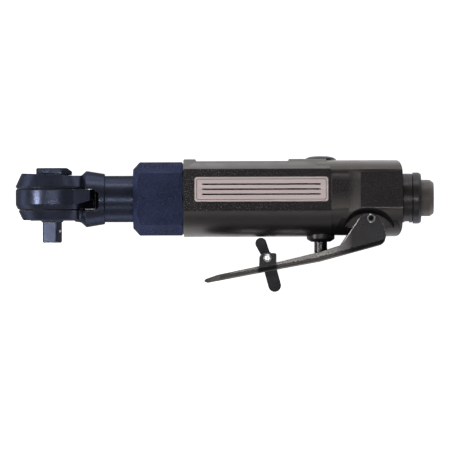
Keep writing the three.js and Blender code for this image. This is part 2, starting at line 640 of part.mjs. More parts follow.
// ---- throttle lever: one bent sheet with two ears, a slotted web and a bracket for the lock lever ----
// The walls' outline, from the heel over the ear and along the blade to the tip and back.
function leverSide() {
  const [px, py] = PIVOT;
  return [
    [131.1, -18.8], [132.6, -17.4], [133.3, -14.8], [132.3, -10.8], [130.6, -8.0],
    ...arc([px, py - 1.3], 3.2, 35, 110, 4).slice(1), [px - 4.6, py + 0.3], [115.4, -18.4],
    [114.6, -19.3], [107.1, -21.4], [91.5, -25.2], [66.0, -30.5], [61.3, -32.1], [60.4, -33.0], [62.1, -33.6],
    [73.1, -31.6], [91.5, -28.1], [107.1, -25.3],
  ];
}

// The space between the two side walls, above the web.
function leverInside() {
  return [
    [129.6, -17.7], [131.0, -16.4], [131.7, -14.6], [131.7, 0], [58.0, 0], [58.0, -33.0], [62.6, -32.1],
    [73.4, -30.2], [91.8, -26.7], [107.5, -23.85],
  ];
}

// The lever seen from above: parallel sides and a narrow tip. inset is the distance in from the edge.
function leverPlan(inset) {
  const half = LEVER_HALF - inset;
  const nose = 60.4 + inset;
  return prism([
    [-half, 140], [-half, nose + 7.0], [-half + 2.3, nose + 2.4], [-3.8, nose], [3.8, nose],
    [half - 2.3, nose + 2.4], [half, nose + 7.0], [half, 140],
  ], -60, 20, "y");
}

function throttleLever() {
  const [rx, ry] = LOCK_RIVET;
  const [px, py] = PIVOT;
  const tabs = prism([
    [rx - 3.3, ry - 5.0], [rx + 3.6, ry - 3.6], [rx + 3.6, ry + 1.9], [rx - 1.5, ry + 1.9],
    [rx - 3.0, ry + 0.8], [rx - 3.3, ry - 1.0],
  ], -LEVER_HALF, LEVER_HALF);
  const walls = join(prism(leverSide(), -LEVER_HALF, LEVER_HALF), tabs).intersect(leverPlan(0));
  const inside = prism(leverInside(), SHEET - LEVER_HALF, LEVER_HALF - SHEET).intersect(leverPlan(SHEET));
  return cut(walls, inside,
    block([131.2, 140], [-16.2, 0], [SHEET - LEVER_HALF, LEVER_HALF - SHEET]),
    block([74.0, 101.5], [-40, -18], [-SLOT_HALF, SLOT_HALF]),
    bar(PIN_R + SEAT, -12, 12, "z", [px, py, 0], 0, SMALL),
    bar(1.2, -12, 12, "z", [rx, ry, 0], 0, TINY));
}

// ---- lock-off lever, its rivet and spring ----
function lockLever() {
  const [rx, ry] = LOCK_RIVET;
  const [dx, dy] = LOCK_NOTCH.offset;
  return cut(join(lockArm(LOCK_DOWN), lockArm(LOCK_UP)),
    bar(LOCK_NOTCH.r, -3, 3, "z", [rx + dx, ry + dy, 0], 0, TINY),
    bar(1.25, -3, 3, "z", [rx, ry, 0], 0, TINY));
}

// A flat arm with round ends, from the rivet outward.
function lockArm({ angle, reach, half, root }) {
  const [dx, dy] = polar(reach, angle);
  const end = [LOCK_RIVET[0] + dx, LOCK_RIVET[1] + dy];
  const outline = [
    ...arc(end, half, angle - 90, angle + 90, 6), ...arc(LOCK_RIVET, root, angle + 90, angle + 270, 6),
  ];
  return prism(outline, -LOCK_THICK / 2, LOCK_THICK / 2);
}

function lockSpring() {
  const [rx, ry] = LOCK_RIVET;
  const legs = [
    [new THREE.Vector3(3.0, -3.0, 1.95), new THREE.Vector3(2.6, -1.4, 1.95)],
    [new THREE.Vector3(-1.6, -1.4, 2.95), new THREE.Vector3(-2.9, -3.0, 2.95)],
  ];
  return coil(1.95, 0.22, 1.5, 1.95, 1.0, "z", [rx, ry, 0], 10, legs);
}

function lockRivet() {
  const [rx, ry] = LOCK_RIVET;
  const seat = LEVER_HALF + 0.05;
  return turned([[0, -seat - 0.7], [1.2, -seat - 0.6], [1.7, -seat], [1.05, -seat], [1.05, seat], [1.7, seat],
    [1.2, seat + 0.6], [0, seat + 0.7]], "z", SMALL, [rx, ry, 0]);
}

// The lever's hinge pin, drilled at both ends.
function leverPin() {
  const end = LEVER_HALF - 0.1;
  const drilled = bar(0.9, end - 3.0, end + 1, "z", [...PIVOT, 0], 0, SMALL);
  return cut(bar(PIN_R, -end, end, "z", [...PIVOT, 0], 0, SMALL), drilled, drilled.mirror([0, 0, 1]));
}

add("throttle_lever", throttleLever(), "gunmetal");
add("lever_pin", leverPin(), "steel");
add("lock_lever", lockLever(), "gunmetal");
add("lock_rivet", lockRivet(), "steel");
add("lock_spring", lockSpring(), "steel");

// ---- throttle valve ----
function valveStem() {
  return turned([[0, STEM_FOOT_Y], [1.0, STEM_FOOT_Y + 0.1], [2.0, STEM_FOOT_Y + 0.6],
    [STEM_R, STEM_FOOT_Y + 1.4], [STEM_R, -7.2],
    [1.1, -7.2], [1.1, 1.6], [0, 1.6]], "y", SMALL, [VALVE_X, 0, 0]);
}

function valveBushing() {
  return turned([
    [STEM_R + 0.2, -17.4], [3.8, -17.4], [BUSHING_R, -16.3], [BUSHING_R, BUSHING_SEAT_Y - SEAT],
    [CHAMBER_R - SEAT, BUSHING_SEAT_Y - SEAT],
    [CHAMBER_R - SEAT, -9.4], [STEM_R + 0.2, -9.4], [STEM_R + 0.2, -17.4],
  ], "y", MEDIUM, [VALVE_X, 0, 0]);
}

function valveCap() {
  const cap = turned([[0, 11.0], [4.95, 11.0], [4.95, BODY_TOP], [CAP_R, BODY_TOP], [CAP_R, BODY_TOP + 0.2],
    [4.2, BODY_TOP + 0.9], [2.5, BODY_TOP + 1.1], [0, BODY_TOP + 1.1]], "y", MEDIUM);
  const springWell = bar(3.2, 10, 13.4, "y", [0, 0, 0], 0, SMALL);
  const driverSlot = block([-3.2, 3.2], [BODY_TOP + 0.3, 18], [-0.5, 0.5]);
  return cut(cap, springWell, driverSlot).translate([VALVE_X, 0, 0]);
}

add("valve_bushing", valveBushing(), "darkSteel");
add("valve_stem", valveStem(), "darkSteel");
add("valve_seal", bar(4.2, 0.15, 1.5, "y", [VALVE_X, 0, 0], 1.25, SMALL), "rubber");
add("valve_spring", coil(2.4, 0.3, 4, 2.0, 11.0, "y", [VALVE_X, 0, 0]), "steel");
add("valve_cap", valveCap(), "blackPaint");

// ---- air inlet ----
function inletBushing() {
  return turned([
    [5.2, 131.6], [8.05, 131.6], [8.05, BODY[1]], [7.6, BODY[1]], [7.6, INLET_FLANGE[0]],
    [INLET_FLANGE_R, INLET_FLANGE[0]], [INLET_FLANGE_R, INLET_FLANGE[1] - 1.0],
    [INLET_FLANGE_R - 0.6, INLET_FLANGE[1]],
    [PLUG_R + 0.25, INLET_FLANGE[1]], [PORT_R, INLET_FLANGE[1] - 0.8], [PORT_R, 136.0], [5.2, 136.0],
    [5.2, 131.6],
  ], "x", MEDIUM);
}

function inletScreen() {
  const holes = [[0, 0], ...Array.from({ length: 6 }, (_, i) => polar(3.1, 60 * i))];
  return cut(bar(PORT_R - SEAT, 136.0, 136.6, "x"),
    ...holes.map(([y, z]) => bar(0.9, 135, 138, "x", [0, y, z], 0, 8)));
}

function inletPlug() {
  const thread = bar(PORT_R - 0.2, 138.0, INLET_FLANGE[1] + 1, "x");
  const head = turned([[0, INLET_FLANGE[1]], [PLUG_R, INLET_FLANGE[1]], [PLUG_R, PLUG_END - 1.6],
    [PLUG_R - 1.1, PLUG_END], [0, PLUG_END]], "x", MEDIUM);
  return join(thread, head);
}

function exhaustDeflector() {
  const [from, to] = DEFLECTOR;
  const cup = turned([[9.1, from], [RING_R, from], [RING_R, to - 0.2], [RING_R - 0.2, to], [7.8, to],
    [7.8, to - 1.0], [9.0, to - 1.0], [9.1, from]], "x", LARGE);
  const outlet = block([from + 0.7, to - 1.3], [-12, -6], [-3.2, 3.2]);
  return cut(cup, outlet);
}

add("inlet_bushing", inletBushing(), "blackPaint");
add("inlet_screen", inletScreen(), "bronze");
add("exhaust_muffler", bar(8.7, BODY[1] + 0.1, DEFLECTOR[1] - 1.2, "x", [0, 0, 0], 7.8, MEDIUM), "resin");
add("exhaust_deflector", exhaustDeflector(), "blackPaint");
add("inlet_plug", inletPlug(), "plug");

const part = new THREE.Group();
part.add(tool);
export default part;
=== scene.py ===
"""Looks of the compact air ratchet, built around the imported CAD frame.

Shapes are written in millimetres about the tool's long axis: x runs along the tool toward the air inlet,
y away from the throttle lever, z up from the bench. place() turns them into metres in the frame.
"""
import math

import bmesh
import bpy
from mathutils import Matrix, Vector

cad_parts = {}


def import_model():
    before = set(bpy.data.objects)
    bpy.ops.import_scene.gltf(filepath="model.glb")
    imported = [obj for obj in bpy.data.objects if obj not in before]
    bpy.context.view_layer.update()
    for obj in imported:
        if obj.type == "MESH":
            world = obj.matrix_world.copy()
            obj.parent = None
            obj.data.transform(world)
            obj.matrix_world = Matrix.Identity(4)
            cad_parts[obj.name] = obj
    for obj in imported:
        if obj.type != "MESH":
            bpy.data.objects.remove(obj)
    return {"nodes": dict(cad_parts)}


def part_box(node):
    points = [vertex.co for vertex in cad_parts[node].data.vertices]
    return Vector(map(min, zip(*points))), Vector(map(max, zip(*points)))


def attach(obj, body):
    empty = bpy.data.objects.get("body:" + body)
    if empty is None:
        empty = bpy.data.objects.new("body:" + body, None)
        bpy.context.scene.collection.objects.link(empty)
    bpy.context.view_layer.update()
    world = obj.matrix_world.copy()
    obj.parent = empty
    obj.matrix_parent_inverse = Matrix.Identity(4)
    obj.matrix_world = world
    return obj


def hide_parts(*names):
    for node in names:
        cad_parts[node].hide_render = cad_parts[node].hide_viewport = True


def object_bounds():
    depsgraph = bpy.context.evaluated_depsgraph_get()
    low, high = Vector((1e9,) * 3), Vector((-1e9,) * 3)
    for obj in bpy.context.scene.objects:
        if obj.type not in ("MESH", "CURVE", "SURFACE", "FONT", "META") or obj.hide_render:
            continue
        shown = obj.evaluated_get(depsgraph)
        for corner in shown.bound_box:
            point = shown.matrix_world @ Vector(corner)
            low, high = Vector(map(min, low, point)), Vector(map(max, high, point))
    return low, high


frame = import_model()
cad_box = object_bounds()

MM = 0.001


# ---- places taken from the frame, in millimetres about the tool's axis ----
def axis_height():
    low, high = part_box("crank_bearing")
    return (low[1] + high[1]) / 2


AXIS = axis_height()


def span(node):
    """Lowest and highest corner of a CAD node, in millimetres about the tool's axis."""
    low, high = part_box(node)
    shift = Vector((0, AXIS, 0))
    return (Vector(low) - shift) / MM, (Vector(high) - shift) / MM


NUT_LOW, NUT_HIGH = span("clamp_nut")
BODY_LOW, BODY_HIGH = span("motor_housing")
PLATE_LOW, PLATE_HIGH = span("name_plate")
PIN_LOW, PIN_HIGH = span("lever_pin")
RIVET_LOW, RIVET_HIGH = span("lock_rivet")
STEM_LOW, STEM_HIGH = span("valve_stem")
RING_LOW, RING_HIGH = span("exhaust_deflector")
PLUG_HIGH = span("inlet_plug")[1]
BUSH_HIGH = span("inlet_bushing")[1]
WASHER_HIGH = span("thrust_washer_upper")[1]
ANVIL_END = span("anvil")[0].y
LEVER_HALF = span("throttle_lever")[1].z
VALVE_X = (STEM_LOW.x + STEM_HIGH.x) / 2
VALVE_AXIS = (VALVE_X, 0, 0)
PIVOT = ((PIN_LOW.x + PIN_HIGH.x) / 2, (PIN_LOW.y + PIN_HIGH.y) / 2)
RIVET = ((RIVET_LOW.x + RIVET_HIGH.x) / 2, (RIVET_LOW.y + RIVET_HIGH.y) / 2)

# ---- driving dimensions, in millimetres and degrees ----
# motor housing: its length behind the nut, half width, top line, side panel, rear end and lever pocket
BODY_X = (NUT_HIGH.x, BODY_HIGH.x)
SIDE = BODY_HIGH.z
FACET_TOP = 15.8
FACET_TOP_LOW = 14.95
TOP_FLAT = 7.0
PANEL_Y = (-3.9, 11.7)
SHELL_END = 111.5
WAIST_SIDE = 14.3
REAR_TOP = 15.2
REAR_CROWN = (9.6, 5.0)
REAR_PANEL_X = 122.8
RECESS = (126.3, -17.0)
# throttle valve and lever
BUSHING_R = 5.6
BUSHING_SEAT_Y = -13.3
SHEET = 1.4
EAR_TOP = (PIVOT[0] - 4.6, PIVOT[1] + 0.3)
EAR_FOOT = (115.2, -18.8)
# head: the square drive, the slot between the ears and the yoke in it
SQUARE = 6.35
SQUARE_TURN = -18.4
BALL_Y = ANVIL_END + 5.0
SLOT_END = 18.8
YOKE_HALF = 3.95
CORE_HALF = 7.5


# ---- outlines ----
def polar(r, degrees):
    return (r * math.cos(math.radians(degrees)), r * math.sin(math.radians(degrees)))


def arc(centre, r, start, end, steps):
    points = []
    for i in range(steps + 1):
        a, b = polar(r, start + (end - start) * i / steps)
        points.append((centre[0] + a, centre[1] + b))
    return points


def soften(points, steps, closed=True):
    """Rounds each corner given as (a, b, radius). Corners given as (a, b) stay sharp."""
    out = []
    count = len(points)
    for i, point in enumerate(points):
        r = point[2] if len(point) > 2 else 0
        if r <= 0 or (not closed and i in (0, count - 1)):
            out.append((point[0], point[1]))
            continue
        corner = Vector(point[:2])
        before = Vector(points[i - 1][:2])
        after = Vector(points[(i + 1) % count][:2])
        u = (before - corner).normalized()
        v = (after - corner).normalized()
        half = u.angle(v) / 2
        reach = min(r / math.tan(half), 0.49 * (before - corner).length, 0.49 * (after - corner).length)
        r = reach * math.tan(half)
        centre = corner + (u + v).normalized() * (r / math.sin(half))
        start = corner + u * reach - centre
        end = corner + v * reach - centre
        first = math.atan2(start.y, start.x)
        sweep = math.atan2(end.y, end.x) - first
        sweep = (sweep + math.pi) % (2 * math.pi) - math.pi
        for k in range(steps + 1):
            angle = first + sweep * k / steps
            out.append((centre.x + r * math.cos(angle), centre.y + r * math.sin(angle)))
    return out


def rounded_rectangle(low, high, r, steps):
    """A rectangle between two opposite corners."""
    return soften([(low[0], low[1], r), (high[0], low[1], r), (high[0], high[1], r), (low[0], high[1], r)],
                  steps)


# ---- solids, in millimetres ----
# (a, b, t) of an outline and its extrusion, for each axis that t can run along
TURNS = {
    "x": Matrix(((0, 0, 1), (1, 0, 0), (0, 1, 0))),
    "y": Matrix(((0, 1, 0), (0, 0, 1), (1, 0, 0))),
    "z": Matrix.Identity(3),
}


def to_object(bm, axis, centre=(0, 0, 0)):
    bmesh.ops.recalc_face_normals(bm, faces=bm.faces)
    bm.transform(Matrix.Translation(centre) @ TURNS[axis].to_4x4())
    mesh = bpy.data.meshes.new("shape")
    bm.to_mesh(mesh)
    bm.free()
    obj = bpy.data.objects.new("shape", mesh)
    bpy.context.scene.collection.objects.link(obj)
    return obj


def prism(outline, low, high, axis="z", edge=0.0, steps=2):
    """An extruded outline, with its two rims rounded by edge."""
    bm = bmesh.new()
    bottom = bm.faces.new([bm.verts.new((a, b, low)) for a, b in outline])
    grown = bmesh.ops.extrude_face_region(bm, geom=[bottom])
    tops = [v for v in grown["geom"] if isinstance(v, bmesh.types.BMVert)]
    bmesh.ops.translate(bm, verts=tops, vec=(0, 0, high - low))
    if edge > 0:
        bm.verts.ensure_lookup_table()
        rims = [e for e in bm.edges if abs(e.verts[0].co.z - e.verts[1].co.z) < 1e-6]
        bmesh.ops.bevel(bm, geom=rims, offset=edge, segments=steps, profile=0.5, affect="EDGES",
                        clamp_overlap=True)
    return to_object(bm, axis)


def turned(profile, axis, centre=(0, 0, 0), sides=96):
    """A turned solid: profile is (radius, position) and starts and ends on the axis, or closes on itself."""
    bm = bmesh.new()
    rings = []
    for r, t in profile:
        if r < 1e-6:
            rings.append(None)
            continue
        corners = []
        for i in range(sides):
            a, b = polar(r, 360 * i / sides)
            corners.append(bm.verts.new((a, b, t)))
        rings.append(corners)
    solid = [corners for corners in rings if corners]
    on_axis = rings[0] is None
    pairs = list(zip(solid, solid[1:]))
    if not on_axis:
        pairs.append((solid[-1], solid[0]))
    for one, two in pairs:
        for i in range(sides):
            j = (i + 1) % sides
            bm.faces.new((one[i], one[j], two[j], two[i]))
    if on_axis:
        bm.faces.new(solid[0])
        bm.faces.new(solid[-1])
    return to_object(bm, axis, centre)


def bar(r, low, high, axis, centre=(0, 0, 0), sides=48):
    return turned([(0, low), (r, low), (r, high), (0, high)], axis, centre, sides)


def ring(outer, inner, low, high, axis, centre=(0, 0, 0), edge=0.15, sides=80):
    return turned(rounded_rectangle((inner, low), (outer, high), edge, 2), axis, centre, sides)


def block(x, y, z):
    return prism([(x[0], y[0]), (x[1], y[0]), (x[1], y[1]), (x[0], y[1])], z[0], z[1])


def turn(obj, degrees, axis):
    obj.data.transform(Matrix.Rotation(math.radians(degrees), 4, axis))
    return obj


def mirrored(obj):
    """The same shape on the tool's other side."""
    other = obj.copy()
    other.data = obj.data.copy()
    other.data.transform(Matrix.Scale(-1, 4, (0, 0, 1)))
    other.data.flip_normals()
    bpy.context.scene.collection.objects.link(other)
    return other


def combine(obj, others, operation):
    for other in others:
        modifier = obj.modifiers.new("cut", "BOOLEAN")
        modifier.object = other
        modifier.operation = operation
        modifier.solver = "MANIFOLD"
    apply_modifiers(obj)
    for other in others:
        bpy.data.objects.remove(other)
    return obj


def join(obj, *others):
    return combine(obj, others, "UNION")


def cut(obj, *others):
    return combine(obj, others, "DIFFERENCE")


def common(obj, *others):
    return combine(obj, others, "INTERSECT")


def apply_modifiers(obj):
    bpy.context.view_layer.update()
    graph = bpy.context.evaluated_depsgraph_get()
    mesh = bpy.data.meshes.new_from_object(obj.evaluated_get(graph))
    obj.modifiers.clear()
    obj.data = mesh


def ease_edges(obj, width, angle, steps=2):
    """Rounds the edges that are sharper than the angle."""
    weld = obj.modifiers.new("weld", "WELD")
    weld.merge_threshold = 0.002
    bevel = obj.modifiers.new("bevel", "BEVEL")
    bevel.width = width
    bevel.segments = steps
    bevel.limit_method = "ANGLE"
    bevel.angle_limit = math.radians(angle)
    bevel.use_clamp_overlap = True
    bevel.miter_outer = "MITER_ARC"
    apply_modifiers(obj)
    return obj


def place(obj, name, body, material, nodes, sharp=34):
    """Puts a finished shape into the frame: it rides on a body and stands for the nodes it replaces."""
    obj.data.transform(Matrix.Translation((0, AXIS, 0)) @ Matrix.Scale(MM, 4))
    obj.name = name
    obj.data.name = name
    obj.data.materials.clear()
    obj.data.materials.append(material)
    for polygon in obj.data.polygons:
        polygon.use_smooth = True
    obj.data.set_sharp_from_angle(angle=math.radians(sharp))
    even = obj.modifiers.new("even_shading", "WEIGHTED_NORMAL")
    even.keep_sharp = True
    even.weight = 80
    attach(obj, body)
    if nodes:
        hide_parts(*nodes)
    return obj


# ---- materials ----
class Nodes:
    """A short way to build a material's node tree."""

    def __init__(self, name):
        self.material = bpy.data.materials.new(name)
        self.material.use_nodes = True
        self.tree = self.material.node_tree
        self.shader = self.tree.nodes["Principled BSDF"]
        self.place = self.add("ShaderNodeTexCoord").outputs["Object"]

    def add(self, kind, **inputs):
        node = self.tree.nodes.new(kind)
        for key, value in inputs.items():
            self.set(node.inputs[key.replace("_", " ")], value)
        return node

    def set(self, socket, value):
        if isinstance(value, bpy.types.NodeSocket):
            self.tree.links.new(value, socket)
        else:
            socket.default_value = value

    def noise(self, scale, detail, rough=0.55, stretch=None):
        where = self.place
        if stretch:
            mapping = self.add("ShaderNodeMapping", Vector=self.place)
            mapping.inputs["Scale"].default_value = stretch
            where = mapping.outputs["Vector"]
        node = self.add("ShaderNodeTexNoise", Vector=where, Scale=scale, Detail=detail, Roughness=rough)
        return node.outputs["Fac"]

    def spread(self, value, low, high, start=0.35, end=0.65):
        """Maps a texture from start..end to low..high."""
        node = self.add("ShaderNodeMapRange", Value=value, From_Min=start, From_Max=end,
                        To_Min=low, To_Max=high)
        return node.outputs["Result"]

    def blend(self, factor, one, two):
        node = self.tree.nodes.new("ShaderNodeMix")
        node.data_type = "RGBA"
        self.set(node.inputs[0], factor)
        self.set(node.inputs[6], one)
        self.set(node.inputs[7], two)
        return node.outputs[2]

    def math(self, operation, one, two=0.0):
        node = self.tree.nodes.new("ShaderNodeMath")
        node.operation = operation
        self.set(node.inputs[0], one)
        self.set(node.inputs[1], two)
        return node.outputs[0]

    def xyz(self):
        """Where a point is along the frame's three axes, in metres."""
        return tuple(self.add("ShaderNodeSeparateXYZ", Vector=self.place).outputs)

    def size(self, value):
        return self.math("ABSOLUTE", value)

    def over(self, value, limit):
        return self.math("GREATER_THAN", value, limit)

    def under(self, value, limit):
        return self.math("LESS_THAN", value, limit)

    def product(self, *factors):
        result = factors[0]
        for factor in factors[1:]:
            result = self.math("MULTIPLY", result, factor)
        return result

    def wear(self, radius):
        """How near a sharp edge a point is, broken up by a coarse grain."""
        rounded = self.add("ShaderNodeBevel", Radius=radius)
        rounded.samples = 6
        geometry = self.tree.nodes.new("ShaderNodeNewGeometry")
        compare = self.tree.nodes.new("ShaderNodeVectorMath")
        compare.operation = "DOT_PRODUCT"
        self.set(compare.inputs[0], rounded.outputs["Normal"])
        self.set(compare.inputs[1], geometry.outputs["Normal"])
        near = self.spread(compare.outputs["Value"], 1.0, 0.0, 0.80, 0.95)
        return self.product(near, self.spread(self.noise(700, 3, 0.6), 0.35, 1.0, 0.4, 0.6))

    def bump(self, height, strength, distance, normal=None):
        node = self.add("ShaderNodeBump", Height=height, Strength=strength, Distance=distance)
        if normal is not None:
            self.set(node.inputs["Normal"], normal)
        return node.outputs["Normal"]


def shade(color, factor):
    return (color[0] * factor, color[1] * factor, color[2] * factor, 1.0)


def metal(name, color, rough, metallic, grain, depth, variation=0.18, edge=0.0, sparkle=0.0,
          rim=(0.6, 0.6, 0.7), painted_slot_shade=False):
    """Machined or sandblasted metal: cloudy colour, uneven gloss, fine grain and bare worn edges."""
    n = Nodes(name)
    cloud = n.noise(90, 4)
    fine = n.noise(grain, 3, 0.6)
    lighter = shade(color, 1 + variation)
    tone = n.blend(n.spread(cloud, 0.0, 1.0), shade(color, 1 - variation), lighter)
    tone = n.blend(n.spread(fine, 0.0, 1.0), tone, lighter)
    smudge = n.noise(240, 5, 0.6)
    gloss = n.spread(smudge, rough * 0.85, rough * 1.18)
    # painted glints: light specks scattered over the whole surface stand for the sparkle of the blasted steel
    if sparkle:
        painted_glints = n.spread(n.noise(grain * 1.6, 1, 0.4), 0.0, sparkle, 0.60, 0.70)
        tone = n.blend(painted_glints, tone, shade(color, 7))
    # painted shade: the steel turns much darker and rougher in the fork's middle and at the slot's end
    if painted_slot_shade:
        inner = slot_shade_area(n)
        tone = n.blend(inner, tone, shade(color, 0.12))
        gloss = n.math("ADD", gloss, n.product(inner, 0.4))
    if edge:
        worn = n.wear(edge)
        tone = n.blend(worn, tone, (0.34, 0.33, 0.33, 1))
        gloss = n.math("SUBTRACT", gloss, n.product(worn, 0.1))
    n.set(n.shader.inputs["Base Color"], tone)
    n.shader.inputs["Metallic"].default_value = metallic
    n.shader.inputs["Specular Tint"].default_value = (*rim, 1)
    n.set(n.shader.inputs["Roughness"], gloss)
    n.set(n.shader.inputs["Normal"], n.bump(fine, depth, 0.00006))
    return n.material


def slot_shade_area(n):
    """The fork's middle and the end of the head's slot, where the steel is darkened as painted shade."""
    x, y, z = n.xyz()
    height = n.size(n.math("SUBTRACT", y, AXIS))
    along = n.product(n.over(x, 6 * MM), n.under(x, (SLOT_END + 0.1) * MM))
    return n.product(along, n.under(n.size(z), (CORE_HALF + 0.2) * MM), n.under(height, 4.8 * MM))


def powder_coat(name, color, rough):
    """Smooth black paint with a faint orange peel, and a pebbled grain on the panels and the waist, with
    painted sparkle on the grain.
    """
    n = Nodes(name)
    x, y, z = n.xyz()
    grained = grained_area(n, x, y, z)
    pebble = n.noise(1000, 2, 0.5)
    speck = n.noise(1900, 2, 0.6)
    cloud = n.noise(60, 4)
    tone = n.blend(n.spread(cloud, 0.0, 1.0), shade(color, 0.86), shade(color, 1.14))
    # painted sparkle: light specks on the grained areas, strongest toward the head and fading toward the rear
    toward_head = n.spread(x, 1.0, 0.3, 58 * MM, 112 * MM)
    light = n.product(grained, toward_head, n.spread(speck, 0.0, 1.0, 0.56, 0.66))
    tone = n.blend(light, tone, shade(color, 10.0))
    worn = n.product(n.wear(0.00022), 0.3)
    n.set(n.shader.inputs["Base Color"], n.blend(worn, tone, (0.16, 0.15, 0.14, 1)))
    gloss = n.spread(n.noise(160, 4), rough * 0.88, rough * 1.15)
    n.set(n.shader.inputs["Roughness"], n.math("ADD", gloss, n.product(grained, 0.22)))
    plain = n.math("SUBTRACT", 1.0, n.math("MAXIMUM", grained, recess_area(n, x, y, z)))
    n.set(n.shader.inputs["Specular IOR Level"], n.math("ADD", 0.28, n.product(plain, 0.5)))
    n.shader.inputs["Specular Tint"].default_value = (1.0, 0.92, 0.88, 1)
    peel = n.bump(n.noise(260, 2, 0.4), 0.12, 0.0002)
    lumps = n.math("ADD", n.product(pebble, 0.7), n.product(speck, 0.3))
    n.set(n.shader.inputs["Normal"], n.bump(lumps, n.product(grained, 0.8), 0.00022, peel))
    return n.material


def grained_area(n, x, y, z):
    """The side panels in front and behind, and the waist between them, where the grain fades out."""
    panel_start = (REAR_PANEL_X + 0.3) * MM
    rear = n.product(n.over(x, panel_start), n.under(y, AXIS + 10.5 * MM), n.over(y, AXIS - 3.5 * MM))
    front = n.under(x, (SHELL_END + 0.5) * MM)
    side = n.product(n.over(n.size(z), (SIDE - 0.3) * MM), n.math("MAXIMUM", front, rear))
    waist = n.product(
        n.over(x, (SHELL_END + 0.2) * MM),
        n.under(x, panel_start),
        n.spread(x, 1.0, 0.4, (REAR_PANEL_X - 5) * MM, (REAR_PANEL_X - 2) * MM),
        n.spread(y, 0.0, 1.0, AXIS - 5.0 * MM, AXIS + 3.0 * MM),
        n.spread(y, 1.0, 0.0, AXIS + 7.0 * MM, AXIS + 10.0 * MM),
    )
    return n.math("MAXIMUM", side, waist)


def recess_area(n, x, y, z):
    """The half-moon pockets and the paint just around them, below the flat sides."""
    across = n.add("ShaderNodeCombineXYZ", X=x, Y=y).outputs["Vector"]
    distance = n.tree.nodes.new("ShaderNodeVectorMath")
    distance.operation = "DISTANCE"
    n.set(distance.inputs[0], across)
    distance.inputs[1].default_value = (RECESS[0] * MM, AXIS + RECESS[1] * MM, 0)
    return n.product(n.under(distance.outputs["Value"], 14 * MM), n.under(n.size(z), 12.5 * MM))


def lever_steel(name, dark, light, rough):
    """Bent sheet: dark blacking on the ear and the bracket, with a painted sheen lightening the blade's outer
    faces to grey.
    """
    n = Nodes(name)
    x, y, z = n.xyz()
    # painted sheen: the blade's outer faces turn lighter grey, except near the ear and the rivet's bracket
    along = n.math("ADD", x, n.product(n.noise(300, 3), 2 * MM))
    blade = n.spread(along, 1.0, 0.0, 113 * MM, 121 * MM)
    from_rivet = n.size(n.math("SUBTRACT", x, RIVET[0] * MM))
    off_bracket = n.spread(from_rivet, 0.0, 1.0, 3.3 * MM, 4.3 * MM)
    outer = n.spread(n.size(z), 0.25, 1.0, 7.5 * MM, 9.5 * MM)
    streak = n.noise(700, 4, 0.65, (0.12, 1.0, 1.0))
    blade_sheen = n.product(blade, off_bracket, outer, n.spread(streak, 0.85, 1.0))
    cloud = n.noise(150, 4)
    base = n.blend(n.spread(cloud, 0.0, 1.0), shade(dark, 0.94), shade(dark, 1.06))
    tone = n.blend(blade_sheen, base, (*light, 1))
    # painted highlight: a light band along the ear's front edge
    tone = n.blend(ear_edge_highlight(n, x, y, z), tone, (0.36, 0.345, 0.33, 1))
    worn = n.product(n.wear(0.00022), 0.6)
    n.set(n.shader.inputs["Base Color"], n.blend(worn, tone, (0.42, 0.40, 0.39, 1)))
    n.shader.inputs["Metallic"].default_value = 0.9
    n.shader.inputs["Specular Tint"].default_value = (0.9, 0.88, 0.86, 1)
    rough_tip = n.spread(x, 0.35, 0.0, 68 * MM, 74 * MM)
    gloss = n.spread(n.noise(120, 3), rough * 0.95, rough * 1.08)
    n.set(n.shader.inputs["Roughness"], n.math("ADD", rough_tip, gloss))
    n.set(n.shader.inputs["Normal"], n.bump(streak, 0.15, 0.00004))
    return n.material


def ear_edge_highlight(n, x, y, z):
    """A narrow painted highlight along the ear's front edge, on the outer faces."""
    start = Vector(EAR_TOP)
    end = Vector(EAR_FOOT)
    along = (end - start).normalized()
    across = Vector((-along.y, along.x))
    offset = (start.x * across.x + start.y * across.y) * MM + AXIS * across.y
    reach = n.math("ADD", n.product(x, across.x), n.product(y, across.y))
    distance = n.size(n.math("SUBTRACT", reach, offset))
    near = n.product(n.under(distance, 0.25 * MM), n.over(n.size(z), (LEVER_HALF - 0.4) * MM))
    below_top = n.under(y, AXIS + (start.y - 0.4) * MM)
    above_foot = n.spread(y, 0.0, 1.0, AXIS + (end.y + 0.5) * MM, AXIS + (end.y + 3.0) * MM)
    return n.product(near, below_top, above_foot)


def plastic(name, color, rough, depth=0.15):
    n = Nodes(name)
    cloud = n.noise(130, 4)
    n.set(n.shader.inputs["Base Color"],
          n.blend(n.spread(cloud, 0.0, 1.0), shade(color, 0.88), shade(color, 1.12)))
    n.set(n.shader.inputs["Roughness"], n.spread(n.noise(420, 4), rough * 0.88, rough * 1.12))
    n.set(n.shader.inputs["Normal"], n.bump(n.noise(1600, 3), depth, 0.00008))
    return n.material


def plate_metal(name):
    """Satin aluminium with a pink cast, brushed along its length."""
    n = Nodes(name)
    brushed = n.noise(900, 4, 0.6, (0.04, 1.0, 1.0))
    color = (0.60, 0.50, 0.50)
    tone = n.blend(n.spread(brushed, 0.0, 1.0), shade(color, 0.9), shade(color, 1.08))
    n.set(n.shader.inputs["Base Color"], tone)
    n.shader.inputs["Metallic"].default_value = 0.55
    n.set(n.shader.inputs["Roughness"], n.spread(brushed, 0.38, 0.52))
    n.set(n.shader.inputs["Normal"], n.bump(brushed, 0.12, 0.00004))
    return n.material


